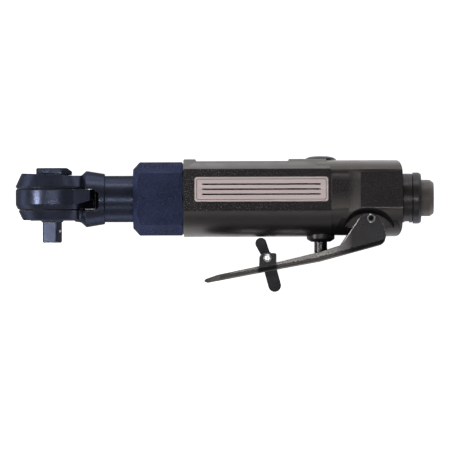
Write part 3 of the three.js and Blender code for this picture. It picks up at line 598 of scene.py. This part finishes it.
BLUED = metal("blued_steel", (0.041, 0.047, 0.073), 0.30, metallic=0.85, grain=1300, depth=0.18, edge=0.0002,
              rim=(0.08, 0.085, 0.11), painted_slot_shade=True)
NAVY = metal("navy_blasted_steel", (0.031, 0.038, 0.080), 0.46, metallic=0.8, grain=1900, depth=0.8,
             variation=0.35, edge=0.00025, sparkle=0.22, rim=(0.06, 0.065, 0.09))
BLACK = powder_coat("black_powder_coat", (0.0125, 0.0115, 0.0125), 0.34)
BLACK_FITTING = metal("black_oxide_steel", (0.045, 0.042, 0.043), 0.34, metallic=0.75, grain=1400, depth=0.2,
                      edge=0.00015)
CATCH = metal("blacked_catch", (0.022, 0.021, 0.022), 0.42, metallic=0.6, grain=1300, depth=0.4, edge=0.0001)
OILED = metal("oiled_steel", (0.016, 0.016, 0.018), 0.5, metallic=0.4, grain=1500, depth=0.2)
GUNMETAL = metal("gunmetal_steel", (0.05, 0.048, 0.05), 0.28, metallic=0.9, grain=1100, depth=0.2,
                 edge=0.0002)
LEVER_STEEL = lever_steel("gunmetal_sheet", (0.016, 0.0155, 0.0165), (0.12, 0.112, 0.108), 0.28)
BRIGHT = metal("bright_steel", (0.50, 0.50, 0.51), 0.30, metallic=1.0, grain=1500, depth=0.03,
               variation=0.06)
GROUND = metal("ground_steel", (0.34, 0.34, 0.35), 0.34, metallic=1.0, grain=1500, depth=0.2,
               variation=0.12)
BRONZE = metal("sintered_bronze", (0.36, 0.24, 0.11), 0.42, metallic=0.95, grain=2200, depth=0.4,
               variation=0.2)
PLATE = plate_metal("name_plate_alloy")
INK = plastic("plate_ink", (0.02, 0.018, 0.02), 0.5)
RUBBER = plastic("black_rubber", (0.015, 0.015, 0.015), 0.7)
RESIN = plastic("fibre_resin", (0.12, 0.09, 0.05), 0.65)
CAP_GREY = plastic("dust_cap_plastic", (0.088, 0.076, 0.070), 0.5, depth=0.3)


# ---- motor housing ----
def shell_outline(shoulder, side):
    """The housing's section: flat sides, the same shoulder on both sides and a round lower half."""
    low = PANEL_Y[0]
    start = math.degrees(math.atan2(side, low))
    other = [(p[0], -p[1]) + p[2:] for p in reversed(shoulder)]
    upper = soften([(low, -side)] + other + shoulder + [(low, side)], 6, closed=False)
    return upper[1:-1] + arc((0, 0), math.hypot(side, low), start, 360 - start, 56)


def rear_shoulder(side):
    """A quarter ellipse from the top line down to the flat side."""
    crown_y, crown_z = REAR_CROWN
    rise, spread = REAR_TOP - crown_y, side - crown_z
    return [(crown_y + rise * a, crown_z + spread * b) for a, b in arc((0, 0), 1, 0, 90, 20)]


def lever_recess():
    """The half-moon pocket that an ear of the lever turns in."""
    profile = soften([(0, 0), (11.4, 0, 0.8), (13.5, 6.0), (13.8, 7.0), (0, 7.0)], 4)
    return turned(profile, "z", (*RECESS, 9.6), 112)


def rear_end():
    """Everything in front of the rear end's rounded corners, seen from the side."""
    rear = BODY_X[1]
    long, tall = 2.4, 5.0
    upper = [(rear - long + long * a, REAR_TOP - tall + tall * b) for a, b in arc((0, 0), 1, 0, 90, 12)]
    lower = [(x, -y) for x, y in reversed(upper)]
    return prism([(90, -20), (rear - long, -20)] + lower + upper + [(rear - long, 20), (90, 20)], -20, 20)


def front_shell():
    """The part behind the nut: a flat top with a shallow recess, flat sides and a slanted end."""
    shoulder = [(FACET_TOP, TOP_FLAT, 2.0), (PANEL_Y[1], SIDE, 1.0)]
    shell = prism(shell_outline(shoulder, SIDE), BODY_X[0], SHELL_END + 2, "x", edge=0.45)
    slanted_end = prism([(SHELL_END - 2, 22), (SHELL_END - 2, 15.5), (SHELL_END, 11), (SHELL_END, -22),
                         (SHELL_END + 8, -22), (SHELL_END + 8, 22)], -22, 22)
    low = FACET_TOP_LOW
    top_recess = prism(soften([(57.5, low, 0.6), (94.5, low, 0.6), (95.1, 20), (56.9, 20)], 3), -22, 22)
    cut(shell, slanted_end, top_recess)
    return ease_edges(shell, 0.35, 40)


def rear_shell():
    """The narrower waist and the wider rear end behind it, joined by a slope."""
    waist = prism(shell_outline(rear_shoulder(WAIST_SIDE), WAIST_SIDE), SHELL_END - 6, BODY_X[1], "x")
    flats = prism(shell_outline(rear_shoulder(SIDE), SIDE), REAR_PANEL_X - 6, BODY_X[1], "x")
    x, out = REAR_PANEL_X, SIDE + 1
    slope = soften([(0, x - 4.8), (WAIST_SIDE - 0.05, x - 4.8), (WAIST_SIDE, x - 4.4, 2), (SIDE + 0.02, x, 2),
                    (out, x + 0.05), (out, 150), (0, 150)], 6)
    near = prism(slope, -20, 20, "y")
    join(near, mirrored(near))
    common(flats, near)
    join(waist, flats)
    common(waist, rear_end())
    return ease_edges(waist, 0.45, 40, 3)


def plate_seat():
    """The shallow pocket that the name plate lies in."""
    room = Vector((0.15, 0.15, 0))
    low, high = PLATE_LOW - room, PLATE_HIGH + room
    return prism(rounded_rectangle(low, high, 1.1, 5), low.z, high.z + 1)


def motor_housing():
    shell = front_shell()
    boss = bar(6.3, 8, FACET_TOP, "y", VALVE_AXIS, 64)
    spigot = bar(12.5, BODY_LOW.x, BODY_X[0] + 1, "x", sides=96)
    join(shell, rear_shell(), spigot, boss)
    recess = lever_recess()
    cut(shell, recess, mirrored(recess), plate_seat())
    ease_edges(shell, 0.16, 40)
    cut(shell, *housing_bores())
    return place(shell, "motor_housing_shell", "housing", BLACK, ["motor_housing"])


def housing_bores():
    """The rooms of the motor and the valve, the air's way from the inlet, and the hinge pin's hole."""
    motor = [
        bar(11.5, BODY_LOW.x - 1, 88.4, "x", sides=96),
        bar(7.0, 88.3, 90.2, "x"),
    ]
    valve_bores = [
        bar(4.7, 0, 11.0, "y", VALVE_AXIS),
        bar(5.2, 10.9, 20, "y", VALVE_AXIS),
        bar(2.9, -3.1, 0.1, "y", VALVE_AXIS),
        bar(4.7, -20, -3.0, "y", VALVE_AXIS),
        bar(BUSHING_R + 0.15, -20, BUSHING_SEAT_Y, "y", VALVE_AXIS, 80),
    ]
    air_way = [
        bar(8.2, 131.4, 145, "x", sides=64),
        bar(5.0, 116, 132, "x", (0, 1.0, 0)),
        bar(3.0, VALVE_X, 119, "x", (0, 4.6, 0), 24),
        bar(1.9, 90.1, VALVE_X, "x", (0, -4.9, 0), 24),
    ]
    return motor + valve_bores + air_way + [bar(1.75, -12, 12, "z", (*PIVOT, 0), 32)]


def name_plate():
    """A blank plate with a thin border line and three stripes."""
    low, high = PLATE_LOW, PLATE_HIGH
    plate = prism(rounded_rectangle(low, high, 1.0, 6), low.z, high.z, "z", edge=0.12)
    cut(plate, border_line(high.z))
    place(plate, "name_plate_blank", "housing", PLATE, ["name_plate"])
    place(border_line(high.z - 0.03), "name_plate_border", "housing", INK, [])
    pitch, half, inset = 2.0, 0.3, 3.0
    for k in range(3):
        middle = (low.y + high.y) / 2 + (k - 1) * pitch
        outline = rounded_rectangle((low.x + inset, middle - half), (high.x - inset, middle + half), 0.28, 3)
        stripe = prism(outline, high.z - 0.06, high.z)
        place(stripe, f"name_plate_stripe_{k + 1}", "housing", INK, [])


def border_line(top):
    """A thin rectangular ring a little way in from the plate's edge."""
    inset, width = 0.75, 0.22
    outer = prism(plate_outline(inset, 0.7), top - 0.1, top)
    inner = prism(plate_outline(inset + width, 0.5), top - 1, top + 1)
    return cut(outer, inner)


def plate_outline(inset, r):
    way_in = Vector((inset, inset, 0))
    return rounded_rectangle(PLATE_LOW + way_in, PLATE_HIGH - way_in, r, 4)


# ---- clamp nut ----
def clamp_nut():
    """An eight-sided nut with both ends chamfered and two bores, for the neck and for the spigot."""
    front, rear = NUT_LOW.x, NUT_HIGH.x
    corner_r = 14.75
    corners = [polar(corner_r, 45 * i) + (0.5,) for i in range(8)]
    body = prism(soften(corners, 4), front, rear, "x")
    rim = corner_r + 0.05
    chamfered = soften([(0, front), (corner_r - 2.9, front, 0.3), (rim, front + 2.75, 0.5),
                        (rim, rear - 0.7, 0.4), (corner_r - 0.8, rear, 0.2), (0, rear)], 4)
    common(body, turned(chamfered, "x", sides=144))
    ease_edges(body, 0.18, 24)
    cut(body, bar(9.6, front - 1, rear, "x", sides=80), bar(12.7, 35.0, rear + 1, "x", sides=80))
    return place(body, "clamp_nut_octagon", "housing", NAVY, ["clamp_nut"], 30)


# ---- head ----
def head_housing():
    """Two round ears on a neck, with the yoke's slot between them and the bores for anvil and crank."""
    top, bottom, r, neck = 10.5, -8.4, 14.75, 9.3
    ear_side = soften([(0, bottom), (11.7, bottom, 0.9), (r, -2.2, 2.0), (r, 5.0, 2.0), (12.2, top, 1.1),
                       (0, top)], 6)
    ears = turned(ear_side, "y", sides=160)
    sloped = prism([(-20, 10.75), (8.4, 9.4), (20, 9.4), (20, 14), (-20, 14)], -20, 20)
    cut(ears, sloped)
    barrel = soften([(0, 4.5), (8.5, 4.5), (9.3, 11.5, 2.5), (11.3, 13.7, 0.9), (10.1, 21.1, 0.4),
                     (neck, 21.15, 0.15), (neck, 35.0), (12.3, 35.0), (12.3, 39.0), (0, 39.0)], 6)
    join(ears, turned(barrel, "x", sides=128))
    slot_side = soften([(-20, 4.7), (12.8, 4.7, 4), (16.6, 3.8, 1.0), (SLOT_END, 2.6, 1.6),
                        (SLOT_END, -4.6, 1.8), (-20, -4.6)], 6)
    slot = prism(slot_side, -18, 18)
    cut(slot, *slot_ledges())
    cut(ears, slot)
    ease_edges(ears, 0.28, 36, 3)
    cut(ears,
        bar(9.3, -12, 0, "y", sides=96),
        bar(7.7, 0, 12, "y", sides=96),
        bar(8.4, 7.3, 12, "y", sides=96),
        bar(5.6, 13.2, 24, "x", sides=64),
        bar(7.0, 20.6, 40, "x", sides=64))
    return place(ears, "head_housing_fork", "housing", BLUED, ["head_housing"])


def slot_ledges():
    """What stays in the middle of the slot: its round end, and a ledge above and below the yoke."""
    x, z = (13.3, 19.5), (-CORE_HALF, CORE_HALF)
    near, far = YOKE_HALF + 0.1, 5
    end = block((17.0, x[1]), (-far, far), z)
    cut(end, bar(SLOT_END, -6, 6, "y", sides=160))
    return [end, block(x, (near, far), z), block(x, (-far, -near), z)]


def tooth_room(teeth, root, tip, at_root, at_tip):
    """The yoke's bore with its pointed teeth, whose widths are given at the root and at the tip."""
    outline = []
    for i in range(teeth):
        middle = 360 * i / teeth
        a = math.degrees(at_root / 2 / root)
        b = math.degrees(at_tip / 2 / tip)
        outline += [polar(root, middle - a), polar(tip, middle - b)]
        outline += [polar(tip, middle + b), polar(root, middle + a)]
    return outline


def ratchet_yoke():
    """A toothed ring that swings between the ears, and behind it the fork around the drive bushing."""
    half, r, low, root_x = YOKE_HALF, 14.65, -2.2, 4.0
    rim = soften([(0, -half), (r - 0.87, -half, 0.3), (r, low, 1.6), (r, half, 0.4), (0, half)], 4)
    disc = turned(rim, "y", sides=160)
    x, z = polar(r, 54)
    reach, wide = 18.25, 9.3
    plan = prism([(-z, x), (-z, x - 4), (z, x - 4), (z, x), (wide, reach), (-wide, reach)], -half, half, "y")
    skin = soften([(root_x, -half), (15.9, -0.2, 0.8), (reach, -0.2, 0.3), (reach, 2.7, 0.6), (13.6, half, 2),
                   (root_x, half)], 4)
    core = [(root_x, -half), (reach, -half), (reach, 2.6), (16.2, 3.4), (14.2, half), (root_x, half)]
    fork = join(prism(skin, -r, r), prism(core, -CORE_HALF, CORE_HALF))
    common(fork, plan, bar(reach, -8, 8, "y", sides=160))
    ease_edges(fork, 0.25, 40, 2)
    join(disc, fork)
    bushing_gap = block((13.0, 20), (-6, 6), (-5.9, 5.9))
    cut(disc, bushing_gap, prism(tooth_room(24, 10.4, 9.4, 0.5, 0.18), -6, 6, "y"))
    return place(disc, "ratchet_yoke_fork", "yoke", BLUED, ["ratchet_yoke"])


def anvil():
    """The carrier of the pawl, with its bores, and below it the square, which stands a little turned."""
    carrier = soften([(0, -9.3), (3.9, -9.3, 0.2), (4.6, -8.7, 0.2), (4.6, -8.6), (8.6, -8.6, 0.2),
                      (9.0, -8.2, 0.2), (9.0, -4.4), (8.9, -4.3), (8.9, 4.2), (7.4, 4.25), (7.4, 7.3),
                      (5.9, 7.3), (5.9, 8.1), (0, 8.1)], 2)
    body = turned(carrier, "y", sides=96)
    end = ANVIL_END
    half = SQUARE / 2
    square = prism(rounded_rectangle((-half, -half), (half, half), 0.75, 4), end, -8.5, "y")
    chamfered = soften([(0, end), (half + 0.35, end, 0.3), (half + 1.5, end + 1.1, 0.6), (half + 1.5, -8.0),
                        (0, -8.0)], 4)
    common(square, turned(chamfered, "y", sides=96))
    ease_edges(square, 0.15, 30)
    cut(square, bar(1.1, -1.5, 6, "x", (0, BALL_Y, 0), 24))
    turn(square, SQUARE_TURN, "Y")
    join(body, square)
    pocket = prism([(1.0, 2.4), (-5.7, 2.6), (-6.6, 12), (6.6, 12), (5.7, 2.6)], -3.6, 3.6, "y")
    cut(body, pocket,
        bar(2.7, -3.0, 10, "y", sides=32),
        bar(4.0, -1.8, 1.8, "y", sides=32),
        bar(1.2, -5.2, 5.0, "y", (5.4, 0, 0), 20))
    return place(body, "anvil_and_square", "anvil", BLUED, ["anvil"])


def reverse_knob():
    """A pointed grip with a sloping top, its round base, and the stem with the bore of the plunger."""
    low, high = 8.4, 12.5
    flat = 5.1
    start = math.degrees(math.asin(flat / 6.4))
    back = [(b, a) for a, b in arc((0, 0), 6.4, 180 - start, 180 + start, 24)]
    nose = [(-flat, 4.0, 1.2), (-2.0, 7.95, 1.0), (2.0, 7.95, 1.0), (flat, 4.0, 1.2)]
    grip = prism(soften(back + nose, 4), 9.6, high, "y", edge=0.45, steps=3)
    slope = prism([(5.6, 20), (5.6, 12.75), (8.4, 10.75), (12, 8.2), (12, 20)], -8, 8)
    cut(grip, slope)
    ease_edges(grip, 0.3, 30)
    base = soften([(0, low), (6.4, low, 0.2), (6.4, 10.0, 0.3), (5.0, 10.1), (0, 10.1)], 3)
    join(grip, turned(base, "y", sides=96), bar(2.4, -2.6, 9.0, "y", sides=32))
    cut(grip, bar(1.0, -1.2, 3, "x", sides=20))
    return place(grip, "reverse_knob_grip", "reverse_knob", BLUED, ["reverse_knob"])


def detent_ball():
    bm = bmesh.new()
    bmesh.ops.create_icosphere(bm, subdivisions=3, radius=0.9)
    obj = to_object(bm, "z", (SQUARE / 2 - 0.35, BALL_Y, 0))
    turn(obj, SQUARE_TURN, "Y")
    return place(obj, "detent_ball_polished", "detent_ball", BRIGHT, ["detent_ball"])


def head_trim():
    """The washers above and below the yoke, and the clip that holds the anvil."""
    outer = WASHER_HIGH.z - 0.05
    upper = ring(outer, 9.15, 3.97, 4.68, "y", edge=0.1, sides=144)
    cut(upper, block((13.2, 16), (3, 6), (-16, 16)))
    place(upper, "thrust_washer_top", "housing", OILED, ["thrust_washer_upper"])
    lower = ring(outer - 1.0, 9.35, -4.58, -3.97, "y", edge=0.1, sides=144)
    place(lower, "thrust_washer_bottom", "housing", OILED, ["thrust_washer_lower"])
    clip = ring(8.15, 6.1, 7.35, 8.05, "y")
    cut(clip, prism([(-0.9, -12), (0.9, -12), (0.9, -4), (-0.9, -4)], 6, 9, "y"))
    place(clip, "retaining_clip", "anvil", BRIGHT, ["anvil_retaining_ring"])


# ---- throttle lever ----
def lever_outline():
    """The walls' outline, from the heel over the ear and along the blade to the tip and back."""
    py = PIVOT[1]
    return soften([
        (131.1, -18.8, 2.0), (132.6, -17.4, 1.5), (133.3, -14.8, 2.0), (132.3, -10.8, 4),
        (130.3, py + 0.9, 2.4), (126.5, py + 2.05, 2.5), (*EAR_TOP, 0.5), (*EAR_FOOT, 0.35),
        (107.1, -21.4, 8), (91.5, -25.2, 20), (66.0, -30.5, 5), (61.3, -32.1, 1.0), (60.4, -33.0, 0.4),
        (62.1, -33.6, 0.5), (73.1, -31.6, 20), (91.5, -28.1, 30), (107.1, -25.3, 20),
    ], 5)


def lever_inside():
    """The space between the two side walls, above the web."""
    return soften([
        (129.6, -17.4, 1.5), (131.0, -16.1, 1.2), (131.7, -14.6), (131.7, 0), (58.0, 0), (58.0, -32.9),
        (62.6, -32.1, 3), (73.4, -30.1, 20), (91.8, -26.6, 30), (107.5, -23.8, 20),
    ], 5)


def lever_plan(inset):
    """The lever seen from above: parallel sides and a narrow tip, drawn in by the inset."""
    half = LEVER_HALF - inset
    nose = 60.4 + inset
    shape = [(half, 140), (half, nose + 7.0, 2.5), (half - 2.3, nose + 2.4, 3.0), (3.8, nose, 3.0)]
    other = [(-p[0],) + p[1:] for p in reversed(shape)]
    return prism(soften(shape + other, 6), -60, 20, "y")


def trough(point, slope, inset, r):
    """A long bar with round lower edges, which gives the sheet its bend along a straight stretch."""
    half = LEVER_HALF - inset
    section = soften([(inset, -half, r), (inset, half, r), (60, half), (60, -half)], 8)
    bent = turn(prism(section, -120, 120, "x"), math.degrees(math.atan(slope)), "Z")
    bent.data.transform(Matrix.Translation((point[0], point[1], 0)))
    return bent


def bends(inset, r):
    """The round lower edges along the two straight stretches of the underside."""
    return [trough((62.1, -33.6), 0.1836, inset, r), trough((131.1, -18.8), 0.2708, inset, r)]


def throttle_lever():
    """One bent sheet: two side walls joined by a slotted web, and the tabs of the lock-off catch."""
    rx, ry = RIVET
    body = prism(lever_outline(), -LEVER_HALF, LEVER_HALF)
    tab_outline = soften([(rx - 3.3, ry - 5.0), (rx + 3.6, ry - 3.6), (rx + 3.6, ry + 1.9, 0.6),
                          (rx - 1.5, ry + 1.9, 1.2), (rx - 3.1, ry + 0.6, 1.2)], 5)
    join(body, prism(tab_outline, -LEVER_HALF, LEVER_HALF))
    common(body, lever_plan(0), *bends(0, 2.2))
    inside = prism(lever_inside(), SHEET - LEVER_HALF, LEVER_HALF - SHEET)
    common(inside, lever_plan(SHEET), *bends(SHEET, 0.9))
    back = block((131.2, 140), (-16.2, 0), (SHEET - LEVER_HALF, LEVER_HALF - SHEET))
    web_slot = prism(rounded_rectangle((-2.1, 74.0), (2.1, 101.5), 0.8, 4), -40, -18, "y")
    cut(body, inside, back, web_slot)
    ease_edges(body, 0.14, 40)
    cut(body, bar(1.75, -12, 12, "z", (*PIVOT, 0), 32), bar(1.2, -12, 12, "z", (rx, ry, 0), 24))
    return place(body, "throttle_lever_sheet", "throttle_lever", LEVER_STEEL, ["throttle_lever"])


def lever_pin():
    """The hinge pin, drilled at both ends and peened over."""
    low, high, lip = PIN_LOW.z, PIN_HIGH.z, 0.2
    centre = (*PIVOT, 0)
    shank = [(0, low + lip), (1.55, low + lip), (1.55, high - lip), (0, high - lip)]
    pin = turned(shank, "z", centre, 56)
    cut(pin, bar(1.1, high - 8.0, high + 1, "z", centre, 40), bar(1.1, low - 1, low + 8.0, "z", centre, 40))
    place(pin, "lever_hinge_pin", "housing", OILED, ["lever_pin"])
    for side, start in (("near", high - lip), ("far", low)):
        rim = ring(1.5, 1.15, start, start + lip, "z", centre, edge=0.08, sides=56)
        place(rim, f"lever_pin_rim_{side}", "housing", GROUND, [])


# ---- lock-off catch ----
def arm(reach, half, root, degrees, thick, edge):
    """A flat arm with round ends, from the rivet outward."""
    dx, dy = polar(reach, degrees)
    end = (RIVET[0] + dx, RIVET[1] + dy)
    outline = arc(end, half, degrees - 90, degrees + 90, 16)
    outline += arc(RIVET, root, degrees + 90, degrees + 270, 16)
    return prism(outline, -thick / 2, thick / 2, "z", edge=edge, steps=3)


def lock_lever():
    """A short arm up and a long arm down on one rivet."""
    body = arm(6.3, 2.25, 1.7, 113.3, 3.0, 0.35)
    join(body, arm(11.5, 2.55, 2.55, 284.8, 2.9, 0.35))
    cut(body, bar(1.25, -3, 3, "z", (*RIVET, 0), 32))
    ease_edges(body, 0.12, 45)
    return place(body, "lock_off_catch", "lock_lever", CATCH, ["lock_lever"])


def lock_rivet():
    rx, ry = RIVET
    seat, head = LEVER_HALF + 0.05, RIVET_HIGH.z
    upper = [(1.05, seat), (1.65, seat), (1.65, seat + 0.25, 0.2), (1.1, head - 0.03, 0.3), (0, head)]
    profile = soften([(r[0], -r[1]) + r[2:] for r in reversed(upper)] + upper, 3, closed=False)
    rivet = turned(profile, "z", (rx, ry, 0), 40)
    return place(rivet, "lock_rivet_domed", "throttle_lever", BRIGHT, ["lock_rivet"])


def coil(name, points, wire_r, body, nodes):
    """A round wire along a path of points."""
    data = bpy.data.curves.new(name, "CURVE")
    data.dimensions = "3D"
    spline = data.splines.new("POLY")
    spline.points.add(len(points) - 1)
    for spot, point in zip(spline.points, points):
        spot.co = (point[0] * MM, point[1] * MM + AXIS, point[2] * MM, 1)
    data.bevel_depth = wire_r * MM
    data.bevel_resolution = 3
    data.use_fill_caps = True
    data.materials.append(BRIGHT)
    obj = bpy.data.objects.new(name, data)
    bpy.context.scene.collection.objects.link(obj)
    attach(obj, body)
    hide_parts(*nodes)
    return obj


def helix(r, turns, start, length, axis, centre):
    """Points along an evenly wound coil."""
    points = []
    per_turn = 24
    count = round(turns * per_turn)
    for i in range(count + 1):
        a, b = polar(r, 360 * i / per_turn)
        points.append(TURNS[axis] @ Vector((a, b, start + length * i / count)) + Vector(centre))
    return points


def springs():
    """The torsion spring on the rivet, with its two legs, and the return spring of the valve."""
    rx, ry = RIVET
    turns = helix(1.95, 1.5, 1.95, 1.0, "z", (rx, ry, 0))
    leg = [(3.0, -2.9), (2.75, -2.0), (2.3, -0.8)]
    start = [Vector((rx + dx, ry + dy, 1.95)) for dx, dy in leg]
    end = [Vector((rx - dx, ry + dy, 2.95)) for dx, dy in reversed(leg)]
    coil("lock_torsion_spring", start + turns + end, 0.22, "throttle_lever", ["lock_spring"])
    wound = helix(2.4, 4, 2.0, 11.0, "y", VALVE_AXIS)
    coil("valve_return_spring", wound, 0.3, "housing", ["valve_spring"])


# ---- valve ----
def valve():
    """The stem, its bushing below and the slotted cap above."""
    foot = STEM_LOW.y
    shank = soften([(0, foot), (1.0, foot + 0.1, 0.3), (2.0, foot + 0.6, 0.4), (2.6, foot + 1.4, 0.5),
                    (2.6, -7.2, 0.2), (1.1, -7.2), (1.1, 1.6), (0, 1.6)], 3)
    stem = turned(shank, "y", VALVE_AXIS, 64)
    place(stem, "valve_stem_turned", "valve_stem", GUNMETAL, ["valve_stem"])
    seat = BUSHING_SEAT_Y - 0.15
    sleeve = soften([(2.8, -17.4, 0.2), (3.8, -17.4, 0.6), (BUSHING_R, -16.3, 0.7), (BUSHING_R, seat),
                     (4.5, seat), (4.5, -9.4), (2.8, -9.4)], 4)
    bush = turned(sleeve, "y", VALVE_AXIS, 80)
    place(bush, "valve_bushing_turned", "housing", BLACK_FITTING, ["valve_bushing"])
    rim = FACET_TOP + 0.03
    dome = soften([(0, 11.0), (4.9, 11.0), (4.9, rim), (5.8, rim, 0.1), (5.75, rim + 0.25, 0.15),
                   (4.2, rim + 0.85, 2.0), (2.5, rim + 1.05, 2.0), (0, rim + 1.05)], 4)
    cap = turned(dome, "y", VALVE_AXIS, 80)
    driver_slot = block((VALVE_X - 3.1, VALVE_X + 3.1), (rim + 0.3, 20), (-0.5, 0.5))
    cut(cap, bar(3.2, 10, 13.4, "y", VALVE_AXIS), driver_slot)
    place(cap, "valve_cap_slotted", "housing", BLACK_FITTING, ["valve_cap"])


# ---- air inlet ----
def inlet():
    """The flanged bushing, the ring around it and the plug in its mouth."""
    front, face = 144.1, BUSH_HIGH.x
    rear = BODY_X[1]
    r = BUSH_HIGH.z
    sleeve = soften([(5.2, 131.6), (8.05, 131.6), (8.05, rear), (7.6, rear), (7.6, front), (r, front, 0.15),
                     (r, face - 1.0, 0.5), (r - 0.6, face, 0.3), (7.55, face, 0.1), (6.5, face - 0.8),
                     (6.5, 136.0), (5.2, 136.0)], 4)
    bush = turned(sleeve, "x", sides=112)
    place(bush, "inlet_bushing_flanged", "housing", BLACK_FITTING, ["inlet_bushing"])
    low, high, outer = RING_LOW.x, RING_HIGH.x, RING_HIGH.z
    band = soften([(9.1, low), (outer, low, 0.15), (outer, high, 0.15), (7.8, high), (7.8, high - 1.0),
                   (9.0, high - 1.0)], 3)
    deflector = turned(band, "x", sides=112)
    cut(deflector, block((low + 0.7, high - 1.3), (-12, -6), (-3.2, 3.2)))
    ease_edges(deflector, 0.08, 40)
    place(deflector, "exhaust_deflector_ring", "exhaust_deflector", BLACK_FITTING, ["exhaust_deflector"])
    end, head = PLUG_HIGH.x, PLUG_HIGH.z
    stopper = soften([(0, 138.0), (6.3, 138.0), (6.3, face + 0.1), (head, face + 0.1, 0.1),
                      (head, end - 1.6, 1.0), (head - 1.1, end, 0.5), (4.6, end, 0.2), (4.4, end - 0.25, 0.2),
                      (0, end - 0.25)], 5)
    plug = turned(stopper, "x", sides=96)
    place(plug, "inlet_dust_plug", "inlet_plug", CAP_GREY, ["inlet_plug"])


# ---- inner pieces that keep the shape they have in the frame ----
KEPT = {
    GROUND: ["pawl", "pawl_pin", "crankshaft", "crank_bearing", "ring_gear", "front_bearing", "rear_bearing",
             "rotor"] + [f"planet_gear_{k}" for k in (1, 2, 3)],
    BRIGHT: ["reverse_plunger", "plunger_spring", "detent_spring"] + [f"planet_pin_{k}" for k in (1, 2, 3)],
    BLACK_FITTING: ["front_end_plate", "rear_end_plate", "motor_cylinder"],
    OILED: ["drive_bushing"],
    BRONZE: ["inlet_screen"],
    RUBBER: ["valve_seal"],
    RESIN: ["exhaust_muffler"] + [f"rotor_vane_{k}" for k in (1, 2, 3, 4)],
}


def finish_kept_nodes():
    """Gives each its material and a fine bevel."""
    for material, names in KEPT.items():
        for name in names:
            node = frame["nodes"][name]
            node.data.materials.clear()
            node.data.materials.append(material)
            bevel = node.modifiers.new("edge", "BEVEL")
            bevel.width = 0.08 * MM
            bevel.segments = 1
            bevel.limit_method = "ANGLE"
            bevel.angle_limit = math.radians(40)


# ---- stage, lights and camera ----
def floor():
    bm = bmesh.new()
    bmesh.ops.create_grid(bm, x_segments=8, y_segments=8, size=2.5)
    mesh = bpy.data.meshes.new("floor")
    bm.to_mesh(mesh)
    bm.free()
    obj = bpy.data.objects.new("floor", mesh)
    obj.location = (0.07, AXIS, cad_box[0][2])
    bpy.context.scene.collection.objects.link(obj)
    n = Nodes("pale_floor")
    n.set(n.shader.inputs["Base Color"], n.blend(n.noise(6, 2), (0.93, 0.93, 0.93, 1), (0.95, 0.95, 0.95, 1)))
    n.shader.inputs["Roughness"].default_value = 0.9
    n.shader.inputs["Specular IOR Level"].default_value = 0.1
    n.shader.inputs["Emission Color"].default_value = (1, 1, 1, 1)
    n.shader.inputs["Emission Strength"].default_value = 0.9
    obj.data.materials.append(n.material)


def area_light(name, location, target, size, power, color=(1, 1, 1)):
    data = bpy.data.lights.new(name, "AREA")
    data.shape = "RECTANGLE"
    data.size, data.size_y = size
    data.energy = power
    data.color = color
    obj = bpy.data.objects.new(name, data)
    obj.location = location
    obj.rotation_euler = (Vector(target) - Vector(location)).to_track_quat("-Z", "Y").to_euler()
    bpy.context.scene.collection.objects.link(obj)


def lights():
    centre = (0.06, AXIS, 0)
    warm = (1.0, 0.965, 0.93)
    area_light("left_window", (-0.68, AXIS, 0.62), (0.0, AXIS, 0), (0.08, 0.24), 2.4)
    area_light("overhead_strip", (0.06, AXIS - 0.09, 1.3), centre, (0.9, 0.04), 2.6)
    area_light("far_side_fill", (0.1, 0.9, 0.25), centre, (1.2, 0.25), 2.6, warm)
    area_light("near_side_fill", (0.06, -0.75, 0.85), centre, (1.2, 0.2), 1.0)


def world():
    sky = bpy.data.worlds.new("studio")
    sky.use_nodes = True
    tree = sky.node_tree
    background = tree.nodes["Background"]
    where = tree.nodes.new("ShaderNodeTexCoord")
    parts = tree.nodes.new("ShaderNodeSeparateXYZ")
    tree.links.new(where.outputs["Generated"], parts.inputs[0])
    ramp = tree.nodes.new("ShaderNodeMapRange")
    ramp.inputs["From Min"].default_value = 0.0
    ramp.inputs["From Max"].default_value = 0.8
    ramp.inputs["To Min"].default_value = 0.4
    ramp.inputs["To Max"].default_value = 0.16
    tree.links.new(parts.outputs["Z"], ramp.inputs["Value"])
    tree.links.new(ramp.outputs["Result"], background.inputs["Strength"])
    background.inputs["Color"].default_value = (1, 1, 1, 1)
    bpy.context.scene.world = sky


def camera():
    data = bpy.data.cameras.new("camera")
    data.lens = 500
    data.sensor_width = 36
    obj = bpy.data.objects.new("camera", data)
    obj.location = (0.06906, AXIS - 0.01052, 2.5)
    obj.rotation_euler = (0, 0, math.radians(-0.2))
    bpy.context.scene.collection.objects.link(obj)
    bpy.context.scene.camera = obj


def main():
    camera()
    floor()
    lights()
    world()
    bpy.context.scene.view_settings.view_transform = "Standard"
    motor_housing()
    name_plate()
    clamp_nut()
    head_housing()
    ratchet_yoke()
    anvil()
    reverse_knob()
    detent_ball()
    head_trim()
    throttle_lever()
    lever_pin()
    lock_lever()
    lock_rivet()
    springs()
    valve()
    inlet()
    finish_kept_nodes()


main()
